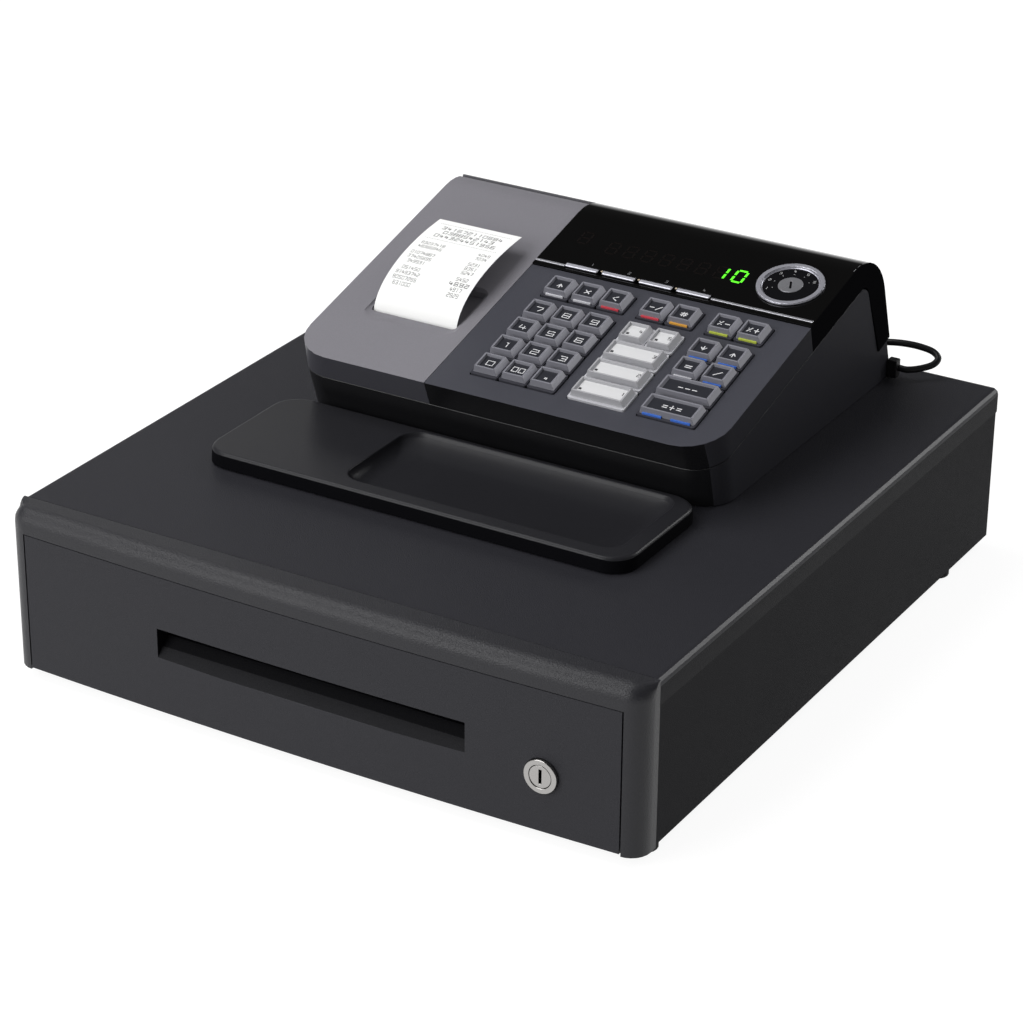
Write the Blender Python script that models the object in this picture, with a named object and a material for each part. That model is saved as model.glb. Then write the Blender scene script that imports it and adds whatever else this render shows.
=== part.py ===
"""Ticket register: a compact till head with a receipt printer, standing on a wide cash drawer.

X runs to the right, Y to the rear and Z up. The origin is the middle of the footprint, on the table.
"""
import math

import bmesh
import bpy
from mathutils import Vector

# Clearances and mesh steps
GAP = 0.0003
RUN_GAP = 0.0005
OVERRUN = 0.002
ARC_STEPS = 6
COARSE_STEPS = 3
ROUND_SIDES = 32
PIN_SIDES = 12
SHAFT_SIDES = 16
FOOT_SIDES = 20
ROLLER_SIDES = 24
ROLL_SIDES = 40
SMOOTH_ANGLE = math.radians(30)
ROUND_PROFILE_SHARE = 0.5

# Cabinet
CABINET_WIDTH = 0.410
CABINET_DEPTH = 0.449
CABINET_HEIGHT = 0.1069
FRONT_BOW = 0.0043
BOW_STEPS = 14
BASE_CLEARANCE = 0.0065
BASE_INSET = 0.0014
BASE_WALL = 0.003
BASE_FLOOR = 0.0025
LID_WALL = 0.0027
LID_SKIRT = 0.0153
LID_RADIUS = 0.004
SEAM_SETBACK = 0.0173
CORNER_RADIUS = 0.012
BEZEL_ROUND = 0.009
VENT_LENGTH = 0.026
VENT_HEIGHT = 0.0012
VENT_CENTRE_SHARES = (0.127, 0.294, 0.490, 0.687, 0.883)
FOOT_RADIUS = 0.008
FOOT_INSET = 0.0115
FOOT_FRONT_SETBACK = 0.025
FOOT_REAR_SETBACK = 0.054
FOOT_POCKET = 0.001

# Drawer
PANEL_WIDTH = 0.385
PANEL_TOP = 0.0924
PANEL_BOTTOM = 0.0078
PANEL_GAP = 0.0009
PANEL_SKIN = 0.003
PANEL_RIM = 0.005
SLOT_WIDTH = 0.200
SLOT_TOP = 0.0602
SLOT_SILL = 0.0410
SLOT_THROAT = 0.0078
LOCK_X = 0.1465
LOCK_Z = 0.0420
LOCK_FLANGE_RADIUS = 0.010
LOCK_FLANGE_PROUD = 0.0022
LOCK_FLANGE_THICK = 0.0025
LOCK_TUBE_RADIUS = 0.0082
LOCK_PLUG_RADIUS = 0.0066
LOCK_TUBE_LENGTH = 0.0085
KEYHOLE_HEIGHT = 0.0085
KEYHOLE_WIDTH = 0.0018
KEYHOLE_DEPTH = 0.004
CAM_LENGTH = 0.015
CAM_WIDTH = 0.008
CAM_THICK = 0.0016
BOX_WIDTH = 0.366
BOX_REAR_SPACE = 0.0474
BOX_WALL = 0.0022
BOX_BOTTOM = 0.0105
BOX_TOP = 0.0845
RUNNER_Z = 0.0440
RUNNER_THICK = 0.003
RUNNER_REACH = 0.0085
CHANNEL_LIP = 0.006
CHANNEL_SETBACK = 0.0043
CHANNEL_REAR_SPACE = 0.0130
TRAY_DEPTH = 0.0235
TRAY_RIM = 0.002
TRAY_WALL = 0.002
COIN_CUPS = 5
BILL_BAYS = 4
COIN_LENGTH_SHARE = 0.34
CUP_ROUND = 0.010
LATCH_LENGTH = 0.024
LATCH_WIDTH = 0.010
LATCH_THICK = 0.003
LATCH_HOOK = 0.006
LATCH_Z = 0.030
LATCH_SETBACK = 0.012
LATCH_PIN_RADIUS = 0.002
LATCH_BORE = 0.0024
BRACKET_CHEEK = 0.003

# Head: the deck is the sloping plane of the keyboard
HEAD_WIDTH = 0.2822
HEAD_WALL = 0.0025
DECK_SETBACK = 0.1881
DECK_RISE = 0.0426
DECK_TILT = math.radians(14.6)
BAND_HEIGHT = 0.0174
BAND_DRAFT = 0.0022
CORNER_TOP_RADIUS = 0.026
CORNER_SEAM_RADIUS = 0.021
BASE_FOOT_SETBACK = 0.2035
BASE_FOOT_INSET = 0.0012
BASE_FOOT_RADIUS = 0.020
HOOD_RISE = 0.0010
HOOD_START = 0.1265
CREST_LENGTH = 0.2195
CREST_RADIUS = 0.038
CREST_STEPS = 10
PLAN_REACH_SHARE = 3
REAR_LEAN = math.radians(17.7)
FIN_SETBACK = 0.0202
FIN_RADIUS = 0.009
FIN_LEAN = math.radians(23.5)
HOOD_TAIL_HEIGHT = 0.0282
TAIL_INSET = 0.0021
EDGE_ROUND = 0.0012
COVER_EDGE_X = -0.0456
COVER_SEAM = 0.0003
HINGE_TURN = math.radians(25)
HINGE_DEPTH = 0.0032
HINGE_RADIUS = 0.003
HINGE_GAP = 0.0006

# Keyboard: pitches and places on the deck, from its middle and its front edge
KEY_PITCH = 0.0189
KEY_FLANGE = 0.0182
KEY_BODY = 0.0160
KEY_TOP = 0.0136
KEY_STEM = 0.0080
KEY_CORNER = 0.0012
FLANGE_TOP = 0.0010
FLANGE_BOTTOM = -0.0006
KEY_HEIGHT = 0.0052
KEY_SHOULDER = 0.0007
STEM_BOTTOM = -0.0050
KEY_TRAVEL = 0.0025
WELL_GAP = 0.00035
WELL_RADIUS = 0.0012
DIGIT_X = -0.0155
MIDDLE_X = 0.0491
RIGHT_X = 0.0943
ROW_V = 0.0261
TOP_ROW_V = 0.1083
BOARD_THICK = 0.0016
BOARD_MARGIN = 0.004
POST_RADIUS = 0.0025
POST_HIGH_V = 0.090
POST_LOW_V = 0.030

# Display, menu bars and mode dial
MENU_FIRST_X = -0.0136
MENU_PITCH = 0.0252
MENU_LENGTH = 0.0219
MENU_WIDTH = 0.0040
MENU_V = 0.1315
MENU_TOP = 0.0024
MENU_FOOT = -0.0030
MENU_COUNT = 4
DIAL_X = 0.1117
DIAL_V = 0.1592
DIAL_RADIUS = 0.0204
DIAL_INNER = 0.0174
DIAL_PROUD = 0.0015
MODE_RADIUS = 0.0076
MODE_GAP = 0.0003
MODE_DEPTH = 0.011
MODE_PROUD = 0.0006
MODE_COLLAR = 0.0102
KEYSLOT_LENGTH = 0.0070
KEYSLOT_WIDTH = 0.0013
KEYSLOT_DEPTH = 0.004

# Printer
PAPER_WIDTH = 0.058
PAPER_X = -0.0862
PAPER_THICK = 0.0003
EXIT_V = 0.0542
CHUTE_FRONT_V = 0.0434
CHUTE_REAR_V = 0.0940
CHUTE_WIDTH = 0.0640
CHUTE_DEPTH = 0.0060
CHUTE_WALL = 0.0020
CHUTE_RADIUS = 0.0080
CHUTE_MARGIN = 0.0016
OUTLET_MARGIN = 0.0024
DISH_DEPTH = 0.0013
DISH_STEPS = 3
EXIT_GAP = 0.0018
PAPER_START = 0.0065
PAPER_HANDLES = ((0.0028, 0.0090), (0.0318, 0.0190))
PAPER_END_V = 0.1363
PAPER_END_RISE = 0.0104
PAPER_STEPS = 14
PLATEN_RADIUS = 0.005
PLATEN_SHAFT_RADIUS = 0.002
PLATEN_SHAFT_OVER = 0.0045
PLATEN_DEPTH = 0.0180
ROLL_RADIUS = 0.0265
ROLL_BORE = 0.0060
ROLL_SETBACK = 0.330
ROLL_LIFT = 0.0025
CHEEK_THICK = 0.002
CHEEK_MARGIN = 0.002
FRAME_FRONT = 0.232
FRAME_REAR = 0.368
MECHANISM_DEPTH = 0.028
TROUGH_HEIGHT = 0.020

# Loose tray in front of the head
TRAY_FRONT = 0.1038
TRAY_REAR = 0.1945
TRAY_LEFT = -0.1452
TRAY_RIGHT = 0.1350
TRAY_HEIGHT = 0.0100
TRAY_DRAFT = 0.0004
TRAY_RADIUS = 0.016
POCKET_LEFT = -0.0560
POCKET_RIGHT = 0.1235
POCKET_FRONT = 0.1150
POCKET_REAR = 0.1898
POCKET_FLOOR = 0.0018
POCKET_SIDE_SLOPE = 0.012
POCKET_FRONT_SLOPE = 0.008
POCKET_REAR_SLOPE = 0.026
POCKET_RADIUS = 0.012
POCKET_STEPS = 5

# Lead between head and drawer
LEAD_DIAMETER = 0.0042
LEAD_HOLE = 0.0030
LEAD_COLLAR = 0.0052
LEAD_COLLAR_HEIGHT = 0.003
PLUG_WIDTH = 0.0066
PLUG_DEPTH = 0.0062
PLUG_HEIGHT = 0.0115
PLUG_SETBACK = 0.4245
PLUG_LIFT = 0.0008
LEAD_POINTS = 48
LEAD_SAMPLES = 12
LEAD_ROUTE = (
    (0.1463, 0.4278, 0.1140),
    (0.1515, 0.4280, 0.1139),
    (0.1590, 0.4335, 0.1146),
    (0.1645, 0.4390, 0.1166),
    (0.1652, 0.4430, 0.1190),
    (0.1610, 0.4455, 0.1212),
    (0.1530, 0.4450, 0.1230),
    (0.1420, 0.4425, 0.1240),
    (0.1300, 0.4400, 0.1230),
    (0.1200, 0.4385, 0.1202),
    (0.1135, 0.4380, 0.1165),
    (0.1120, 0.4378, 0.1130),
    (0.1120, 0.4378, 0.1102),
)

FRONT_Y = -(CABINET_DEPTH - FRONT_BOW) / 2
REAR_Y = FRONT_Y + CABINET_DEPTH
HALF_WIDTH = CABINET_WIDTH / 2
HALF_HEAD = HEAD_WIDTH / 2
SEAM_Y = FRONT_Y + SEAM_SETBACK
SKIRT_Z = CABINET_HEIGHT - LID_SKIRT
DECK_Y = FRONT_Y + DECK_SETBACK
DECK_Z = CABINET_HEIGHT + DECK_RISE
HEAD_FLOOR_Z = CABINET_HEIGHT + GAP
BOX_LENGTH = CABINET_DEPTH - SEAM_SETBACK - GAP - BOX_REAR_SPACE
CHANNEL_LENGTH = CABINET_DEPTH - SEAM_SETBACK - CHANNEL_SETBACK - BASE_INSET - BASE_WALL - CHANNEL_REAR_SPACE
FIN_LENGTH = CREST_LENGTH - FIN_SETBACK
PAPER_PATH = ((EXIT_V, -PAPER_START), *((EXIT_V + v, n) for v, n in PAPER_HANDLES),
              (PAPER_END_V, PAPER_END_RISE))


# Helpers: outlines

def corner_arc(before, corner, after, radius, steps):
    """Points of the round that replaces a corner between two straight runs."""
    towards_before = (Vector(before) - Vector(corner)).normalized()
    towards_after = (Vector(after) - Vector(corner)).normalized()
    half_angle = towards_before.angle(towards_after) / 2
    reach = radius / math.tan(half_angle)
    middle = (towards_before + towards_after).normalized()
    centre = Vector(corner) + middle * (radius / math.sin(half_angle))
    start = Vector(corner) + towards_before * reach - centre
    end = Vector(corner) + towards_after * reach - centre
    total = start.angle(end)
    points = []
    for step in range(steps + 1):
        share = step / steps
        blend = start * math.sin((1 - share) * total) + end * math.sin(share * total)
        points.append(centre + blend / math.sin(total))
    return points


def rounded_outline(corners, steps=ARC_STEPS):
    """Outline through (point, radius) corners; a radius of 0 keeps the corner sharp."""
    points = []
    for index, (corner, radius) in enumerate(corners):
        if radius == 0:
            points.append(Vector(corner))
            continue
        before = corners[index - 1][0]
        after = corners[(index + 1) % len(corners)][0]
        points.extend(corner_arc(before, corner, after, radius, steps))
    return points


def rounded_rectangle(x_low, x_high, y_low, y_high, radius, steps=ARC_STEPS):
    return rounded_outline([
        ((x_low, y_low), radius),
        ((x_high, y_low), radius),
        ((x_high, y_high), radius),
        ((x_low, y_high), radius),
    ], steps)


def circle(radius, sides=ROUND_SIDES):
    turns = [math.tau * side / sides for side in range(sides)]
    return [Vector((radius * math.cos(turn), radius * math.sin(turn))) for turn in turns]


def meeting_point(point, direction, other_point, other_direction):
    """Where two lines of a plane cross."""
    across = Vector((-other_direction[1], other_direction[0]))
    share = (other_point - point).dot(across) / direction.dot(across)
    return point + direction * share


# Helpers: frames of reference

def on_deck(x, v, n):
    """World point at x across, v up the slope and n out of the deck."""
    y = DECK_Y + v * math.cos(DECK_TILT) - n * math.sin(DECK_TILT)
    z = DECK_Z + v * math.sin(DECK_TILT) + n * math.cos(DECK_TILT)
    return Vector((x, y, z))


def deck_side(v, n):
    """The same, as a point of the YZ plane."""
    return on_deck(0, v, n).yz


# Helpers: solids

def material(name, colour, roughness, metallic=0.0):
    finish = bpy.data.materials.new(name)
    finish.use_nodes = True
    shader = finish.node_tree.nodes["Principled BSDF"]
    shader.inputs["Base Color"].default_value = (*colour, 1.0)
    shader.inputs["Roughness"].default_value = roughness
    shader.inputs["Metallic"].default_value = metallic
    finish.diffuse_color = (*colour, 1.0)
    return finish


def solid_from(name, mesh_data):
    bmesh.ops.recalc_face_normals(mesh_data, faces=mesh_data.faces)
    mesh = bpy.data.meshes.new(name)
    mesh_data.to_mesh(mesh)
    mesh_data.free()
    solid = bpy.data.objects.new(name, mesh)
    bpy.context.scene.collection.objects.link(solid)
    return solid


def loft(name, rings):
    """Closed solid through rings that all have the same number of points."""
    mesh_data = bmesh.new()
    loops = [[mesh_data.verts.new(point) for point in ring] for ring in rings]
    for lower, upper in zip(loops, loops[1:]):
        for index in range(len(lower)):
            following = (index + 1) % len(lower)
            mesh_data.faces.new((lower[index], lower[following], upper[following], upper[index]))
    mesh_data.faces.new(loops[0])
    mesh_data.faces.new(loops[-1])
    return solid_from(name, mesh_data)


def prism_x(name, outline, x_low, x_high):
    return loft(name, [[(x, point[0], point[1]) for point in outline] for x in (x_low, x_high)])


def prism_y(name, outline, y_low, y_high):
    return loft(name, [[(point[0], y, point[1]) for point in outline] for y in (y_low, y_high)])


def prism_z(name, outline, z_low, z_high):
    return loft(name, [[(point[0], point[1], z) for point in outline] for z in (z_low, z_high)])


def deck_prism(name, outline, n_low, n_high):
    return loft(name, [[on_deck(point[0], point[1], n) for point in outline] for n in (n_low, n_high)])


def box(name, low, high):
    outline = rounded_rectangle(low[0], high[0], low[1], high[1], 0)
    return prism_z(name, outline, low[2], high[2])


def rod_x(name, radius, centre, x_low, x_high, sides=ROUND_SIDES):
    return prism_x(name, [point + Vector(centre) for point in circle(radius, sides)], x_low, x_high)


def rod_y(name, radius, centre, y_low, y_high, sides=ROUND_SIDES):
    return prism_y(name, [point + Vector(centre) for point in circle(radius, sides)], y_low, y_high)


def combine(target, tools, operation):
    """Apply Boolean tools to a solid and remove them."""
    for tool in tools:
        step = target.modifiers.new("Combine", "BOOLEAN")
        step.operation = operation
        step.solver = "EXACT"
        step.object = tool
        keep_modifiers(target)
        bpy.data.objects.remove(tool, do_unlink=True)
    return target


def cut(target, *tools):
    return combine(target, tools, "DIFFERENCE")


def join(target, *tools):
    return combine(target, tools, "UNION")


def keep(target, *tools):
    return combine(target, tools, "INTERSECT")


def keep_modifiers(target):
    """Turn the evaluated shape into the object's own mesh."""
    depsgraph = bpy.context.evaluated_depsgraph_get()
    shaped = bpy.data.meshes.new_from_object(target.evaluated_get(depsgraph))
    target.modifiers.clear()
    target.data = shaped


def round_long_edge(target, chosen, radius, steps):
    """Bevel the edges that the test picks by their end points."""
    mesh_data = bmesh.new()
    mesh_data.from_mesh(target.data)
    edges = [edge for edge in mesh_data.edges if chosen(edge.verts[0].co, edge.verts[1].co)]
    bmesh.ops.bevel(mesh_data, geom=edges, offset=radius, segments=steps, profile=ROUND_PROFILE_SHARE,
                     affect="EDGES")
    mesh_data.to_mesh(target.data)
    mesh_data.free()
    return target


def finished(target, finish):
    """Give a solid its finish and smooth shading."""
    target.data.materials.clear()
    target.data.materials.append(finish)
    target.data.shade_smooth()
    target.data.set_sharp_from_angle(angle=SMOOTH_ANGLE)
    return target


def at_origin(target, place):
    """Move the object's origin to a point without moving its shape."""
    for vertex in target.data.vertices:
        vertex.co -= place
    target.location = place
    return target


# Cabinet

def front_line(x):
    """Y of the bowed front at x."""
    return FRONT_Y - FRONT_BOW * (1 - (x / HALF_WIDTH) ** 2)


def bowed_run(x_low, x_high):
    steps = [x_low + (x_high - x_low) * step / BOW_STEPS for step in range(BOW_STEPS + 1)]
    return [Vector((x, front_line(x))) for x in steps]


def bezel_outline():
    """Plan of the bezel: bowed front, round corners, straight rear."""
    straight = HALF_WIDTH - CORNER_RADIUS
    front = bowed_run(-straight, straight)
    corner_y = front_line(straight)
    right = corner_arc((straight, corner_y), (HALF_WIDTH, corner_y), (HALF_WIDTH, SEAM_Y),
                       CORNER_RADIUS, ARC_STEPS)
    left = [Vector((-point.x, point.y)) for point in reversed(right)]
    rear = [Vector((HALF_WIDTH, SEAM_Y - GAP)), Vector((-HALF_WIDTH, SEAM_Y - GAP))]
    return front[1:-1] + right + rear + left


def build_front_bezel(finish):
    bezel = prism_z("front_bezel", bezel_outline(), BASE_CLEARANCE, CABINET_HEIGHT)
    rear_limit = SEAM_Y - SEAM_SETBACK / 2

    def on_top_front(first, second):
        at_top = min(first.z, second.z) > CABINET_HEIGHT - GAP
        return at_top and min(first.y, second.y) < rear_limit

    round_long_edge(bezel, on_top_front, BEZEL_ROUND, ARC_STEPS)
    opening = PANEL_WIDTH / 2 + PANEL_GAP
    mouth = box("mouth", (-opening, FRONT_Y - FRONT_BOW - OVERRUN, BASE_CLEARANCE - OVERRUN),
                (opening, SEAM_Y + OVERRUN, PANEL_TOP + PANEL_GAP / 2))
    return finished(cut(bezel, mouth), finish)


def build_lid(finish):
    outer = rounded_rectangle(-HALF_WIDTH, HALF_WIDTH, SEAM_Y, REAR_Y, 0)
    lid = prism_z("cabinet_lid", outer, SKIRT_Z, CABINET_HEIGHT)

    def on_top_sides(first, second):
        at_top = min(first.z, second.z) > CABINET_HEIGHT - GAP
        return at_top and max(first.y, second.y) > SEAM_Y + GAP

    def on_rear_corner(first, second):
        return min(first.y, second.y) > REAR_Y - GAP and abs(first.z - second.z) > LID_WALL

    round_long_edge(lid, on_rear_corner, LID_RADIUS, COARSE_STEPS)
    round_long_edge(lid, on_top_sides, LID_RADIUS, COARSE_STEPS)
    inside = HALF_WIDTH - LID_WALL
    hollow = box("hollow", (-inside, SEAM_Y + LID_WALL, SKIRT_Z - OVERRUN),
                 (inside, REAR_Y - LID_WALL, CABINET_HEIGHT - LID_WALL))
    exit_x, exit_y = LEAD_ROUTE[-1][0], FRONT_Y + LEAD_ROUTE[-1][1]
    centre = Vector((exit_x, exit_y))
    collar = prism_z("collar", [point + centre for point in circle(LEAD_COLLAR, SHAFT_SIDES)],
                     CABINET_HEIGHT - LID_WALL / 2, CABINET_HEIGHT + LEAD_COLLAR_HEIGHT)
    hole = prism_z("hole", [point + centre for point in circle(LEAD_HOLE, SHAFT_SIDES)],
                   SKIRT_Z, CABINET_HEIGHT + LEAD_COLLAR_HEIGHT / 2)
    return finished(cut(join(cut(lid, hollow), collar), hole), finish)


def vent_tool(name, side, share):
    centre = FRONT_Y + CABINET_DEPTH * share
    outer = side * (HALF_WIDTH + OVERRUN)
    inner = side * (HALF_WIDTH - BASE_INSET - BASE_WALL / 2)
    return box(name, (min(outer, inner), centre - VENT_LENGTH / 2, SKIRT_Z - GAP - VENT_HEIGHT),
               (max(outer, inner), centre + VENT_LENGTH / 2, SKIRT_Z + OVERRUN))


def channel(name, side):
    """C channel that carries one flange of the drawer box."""
    wall_x = HALF_WIDTH - BASE_INSET - BASE_WALL / 2
    inner_x = BOX_WIDTH / 2 + RUN_GAP * 2
    groove = RUNNER_THICK / 2 + GAP
    outline = [
        (inner_x, RUNNER_Z - groove - CHANNEL_LIP),
        (wall_x, RUNNER_Z - groove - CHANNEL_LIP),
        (wall_x, RUNNER_Z + groove + CHANNEL_LIP),
        (inner_x, RUNNER_Z + groove + CHANNEL_LIP),
        (inner_x, RUNNER_Z + groove),
        (BOX_WIDTH / 2 + RUNNER_REACH + RUN_GAP, RUNNER_Z + groove),
        (BOX_WIDTH / 2 + RUNNER_REACH + RUN_GAP, RUNNER_Z - groove),
        (inner_x, RUNNER_Z - groove),
    ]
    start = SEAM_Y + CHANNEL_SETBACK
    return prism_y(name, [(side * x, z) for x, z in outline], start, start + CHANNEL_LENGTH)


def latch_pin_place():
    """Just behind the closed drawer box."""
    return Vector((0, SEAM_Y + GAP + BOX_LENGTH + LATCH_SETBACK, LATCH_Z))


def build_base(finish):
    half = HALF_WIDTH - BASE_INSET
    rim = HALF_WIDTH - LID_WALL - GAP
    rear = REAR_Y - BASE_INSET
    rim_rear = REAR_Y - LID_WALL - GAP
    front = SEAM_Y + GAP
    shell = box("cabinet_base", (-half, front, BASE_CLEARANCE), (half, rear, SKIRT_Z - GAP))
    rim_top = CABINET_HEIGHT - LID_WALL - GAP
    collar = box("rim", (-rim, SEAM_Y + LID_WALL + GAP, SKIRT_Z - OVERRUN), (rim, rim_rear, rim_top))
    inside = half - BASE_WALL
    hollow = box("hollow", (-inside, front - OVERRUN, BASE_CLEARANCE + BASE_FLOOR),
                 (inside, rear - BASE_WALL, rim_top + OVERRUN))
    shell = cut(join(shell, collar), hollow)
    shell = join(shell, channel("left_channel", -1), channel("right_channel", 1))
    pin = latch_pin_place()
    cheeks = LATCH_WIDTH / 2 + RUN_GAP
    floor_z = BASE_CLEARANCE + BASE_FLOOR / 2
    for side in (-1, 1):
        low_x, high_x = sorted((side * cheeks, side * (cheeks + BRACKET_CHEEK)))
        cheek = box("cheek", (low_x, pin.y - LATCH_THICK * 2, floor_z),
                    (high_x, pin.y + LATCH_THICK * 2, LATCH_Z + LATCH_THICK * 2))
        shell = join(shell, cheek)
    pin_end = cheeks + OVERRUN
    shell = join(shell, rod_x("pin", LATCH_PIN_RADIUS, pin.yz, -pin_end, pin_end, PIN_SIDES))
    vents = [vent_tool("vent", side, share) for side in (-1, 1) for share in VENT_CENTRE_SHARES]
    pockets = [prism_z("pocket", [point + place for point in circle(FOOT_RADIUS + GAP, FOOT_SIDES)],
                       BASE_CLEARANCE - OVERRUN, BASE_CLEARANCE + FOOT_POCKET)
               for place in foot_places().values()]
    return finished(cut(shell, *vents, *pockets), finish)


def foot_places():
    x = HALF_WIDTH - FOOT_INSET
    front, rear = FRONT_Y + FOOT_FRONT_SETBACK, REAR_Y - FOOT_REAR_SETBACK
    return {
        "foot_front_left": Vector((-x, front)),
        "foot_front_right": Vector((x, front)),
        "foot_rear_left": Vector((-x, rear)),
        "foot_rear_right": Vector((x, rear)),
    }


def build_feet(finish):
    for name, place in foot_places().items():
        foot = prism_z(name, circle(FOOT_RADIUS, FOOT_SIDES), 0, BASE_CLEARANCE + FOOT_POCKET - GAP)
        foot.location = (place.x, place.y, 0)
        finished(foot, finish)


def build_latch(finish):
    """Release hook on its pin at the rear of the cabinet, drawn back from the drawer."""
    pin = latch_pin_place()
    outline = [
        (-LATCH_THICK, -LATCH_THICK),
        (LATCH_THICK, -LATCH_THICK),
        (LATCH_THICK, LATCH_LENGTH),
        (-LATCH_HOOK, LATCH_LENGTH),
        (-LATCH_HOOK, LATCH_LENGTH - LATCH_THICK),
        (-LATCH_THICK, LATCH_LENGTH - LATCH_THICK),
    ]
    latch = prism_x("drawer_latch", outline, -LATCH_WIDTH / 2, LATCH_WIDTH / 2)
    bore = rod_x("bore", LATCH_BORE, (0, 0), -LATCH_WIDTH, LATCH_WIDTH, PIN_SIDES)
    latch = cut(latch, bore)
    latch.location = pin
    return finished(latch, finish)


# Drawer

def build_drawer_front(finish):
    half = PANEL_WIDTH / 2
    rear_y = SEAM_Y
    outline = bowed_run(-half, half) + [Vector((half, rear_y)), Vector((-half, rear_y))]
    panel = prism_z("drawer_front", outline, PANEL_BOTTOM, PANEL_TOP)
    skin_y = FRONT_Y + PANEL_SKIN / 2
    low_z, high_z = PANEL_BOTTOM + PANEL_RIM, PANEL_TOP - PANEL_RIM
    edge = half - PANEL_RIM
    block = SLOT_WIDTH / 2 + PANEL_RIM
    hollows = [
        box("left_hollow", (-edge, skin_y, low_z), (-block, rear_y + OVERRUN, high_z)),
        box("right_hollow", (block, skin_y, low_z), (edge, rear_y + OVERRUN, high_z)),
        box("low_hollow", (-block + PANEL_RIM, skin_y, low_z),
            (block - PANEL_RIM, rear_y + OVERRUN, SLOT_SILL - PANEL_RIM)),
    ]
    outer_y = FRONT_Y - FRONT_BOW - OVERRUN
    throat_y = FRONT_Y + PANEL_SKIN * 2
    rise = (SLOT_TOP - SLOT_THROAT - SLOT_SILL) / (throat_y - FRONT_Y + FRONT_BOW)
    sill_outline = [
        (outer_y, SLOT_TOP),
        (outer_y, SLOT_SILL - rise * OVERRUN),
        (throat_y, SLOT_TOP - SLOT_THROAT),
        (rear_y + OVERRUN, SLOT_TOP - SLOT_THROAT),
        (rear_y + OVERRUN, SLOT_TOP),
    ]
    slot = prism_x("slot", sill_outline, -SLOT_WIDTH / 2, SLOT_WIDTH / 2)
    seat_y = front_line(LOCK_X) + LOCK_FLANGE_THICK - LOCK_FLANGE_PROUD
    seat = rod_y("seat", LOCK_FLANGE_RADIUS + GAP, (LOCK_X, LOCK_Z), outer_y, seat_y + GAP)
    hole = rod_y("hole", LOCK_TUBE_RADIUS + GAP, (LOCK_X, LOCK_Z), outer_y, skin_y + OVERRUN)
    return finished(cut(panel, *hollows, slot, seat, hole), finish)


def build_drawer_box(finish):
    half = BOX_WIDTH / 2
    front, rear = SEAM_Y + GAP, SEAM_Y + GAP + BOX_LENGTH
    drawer = box("drawer_box", (-half, front, BOX_BOTTOM), (half, rear, BOX_TOP))
    hollow = box("hollow", (-half + BOX_WALL, front + BOX_WALL, BOX_BOTTOM + BOX_WALL),
                 (half - BOX_WALL, rear - BOX_WALL, BOX_TOP + OVERRUN))
    drawer = cut(drawer, hollow)
    flanges = []
    for side in (-1, 1):
        low_x, high_x = sorted((side * (half - BOX_WALL / 2), side * (half + RUNNER_REACH)))
        flanges.append(box("flange", (low_x, front, RUNNER_Z - RUNNER_THICK / 2),
                           (high_x, rear, RUNNER_Z + RUNNER_THICK / 2)))
    slot = box("slot", (-SLOT_WIDTH / 2, front - OVERRUN, SLOT_TOP - SLOT_THROAT),
               (SLOT_WIDTH / 2, front + BOX_WALL + OVERRUN, SLOT_TOP))
    return finished(cut(join(drawer, *flanges), slot), finish)


def cup_tool(x_low, x_high, y_low, y_high, top, bottom, turned_up):
    """Space of one cup: a box, with its front and rear bottom edges rounded if it holds coins."""
    radius = CUP_ROUND if turned_up else 0
    outline = rounded_outline([
        ((y_low, top + OVERRUN), 0),
        ((y_low, bottom), radius),
        ((y_high, bottom), radius),
        ((y_high, top + OVERRUN), 0),
    ], COARSE_STEPS)
    return prism_x("cup", outline, x_low, x_high)


def row_of_cups(count, x_low, x_high, y_low, y_high, top, bottom, turned_up):
    width = (x_high - x_low - TRAY_WALL * (count - 1)) / count
    cups = []
    for index in range(count):
        left = x_low + index * (width + TRAY_WALL)
        cups.append(cup_tool(left, left + width, y_low, y_high, top, bottom, turned_up))
    return cups


def build_coin_tray(finish):
    """Lift-out tray that hangs by its rim on the walls of the drawer box."""
    half = BOX_WIDTH / 2 - BOX_WALL - RUN_GAP
    front = SEAM_Y + GAP + BOX_WALL + RUN_GAP
    rear = SEAM_Y + GAP + BOX_LENGTH - BOX_WALL - RUN_GAP
    rim_low, top = BOX_TOP + GAP, BOX_TOP + GAP + TRAY_RIM
    bottom = top - TRAY_DEPTH
    body = box("coin_tray", (-half, front, bottom), (half, rear, top))
    rim = box("rim", (-half - BOX_WALL, front - BOX_WALL, rim_low),
              (half + BOX_WALL, rear + BOX_WALL, top))
    split = front + (rear - front) * COIN_LENGTH_SHARE
    low, high = -half + TRAY_WALL, half - TRAY_WALL
    floor = bottom + TRAY_WALL
    cups = row_of_cups(COIN_CUPS, low, high, front + TRAY_WALL, split, top, floor, True)
    bays = row_of_cups(BILL_BAYS, low, high, split + TRAY_WALL, rear - TRAY_WALL, top, floor, False)
    return finished(cut(join(body, rim), *cups, *bays), finish)


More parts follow.
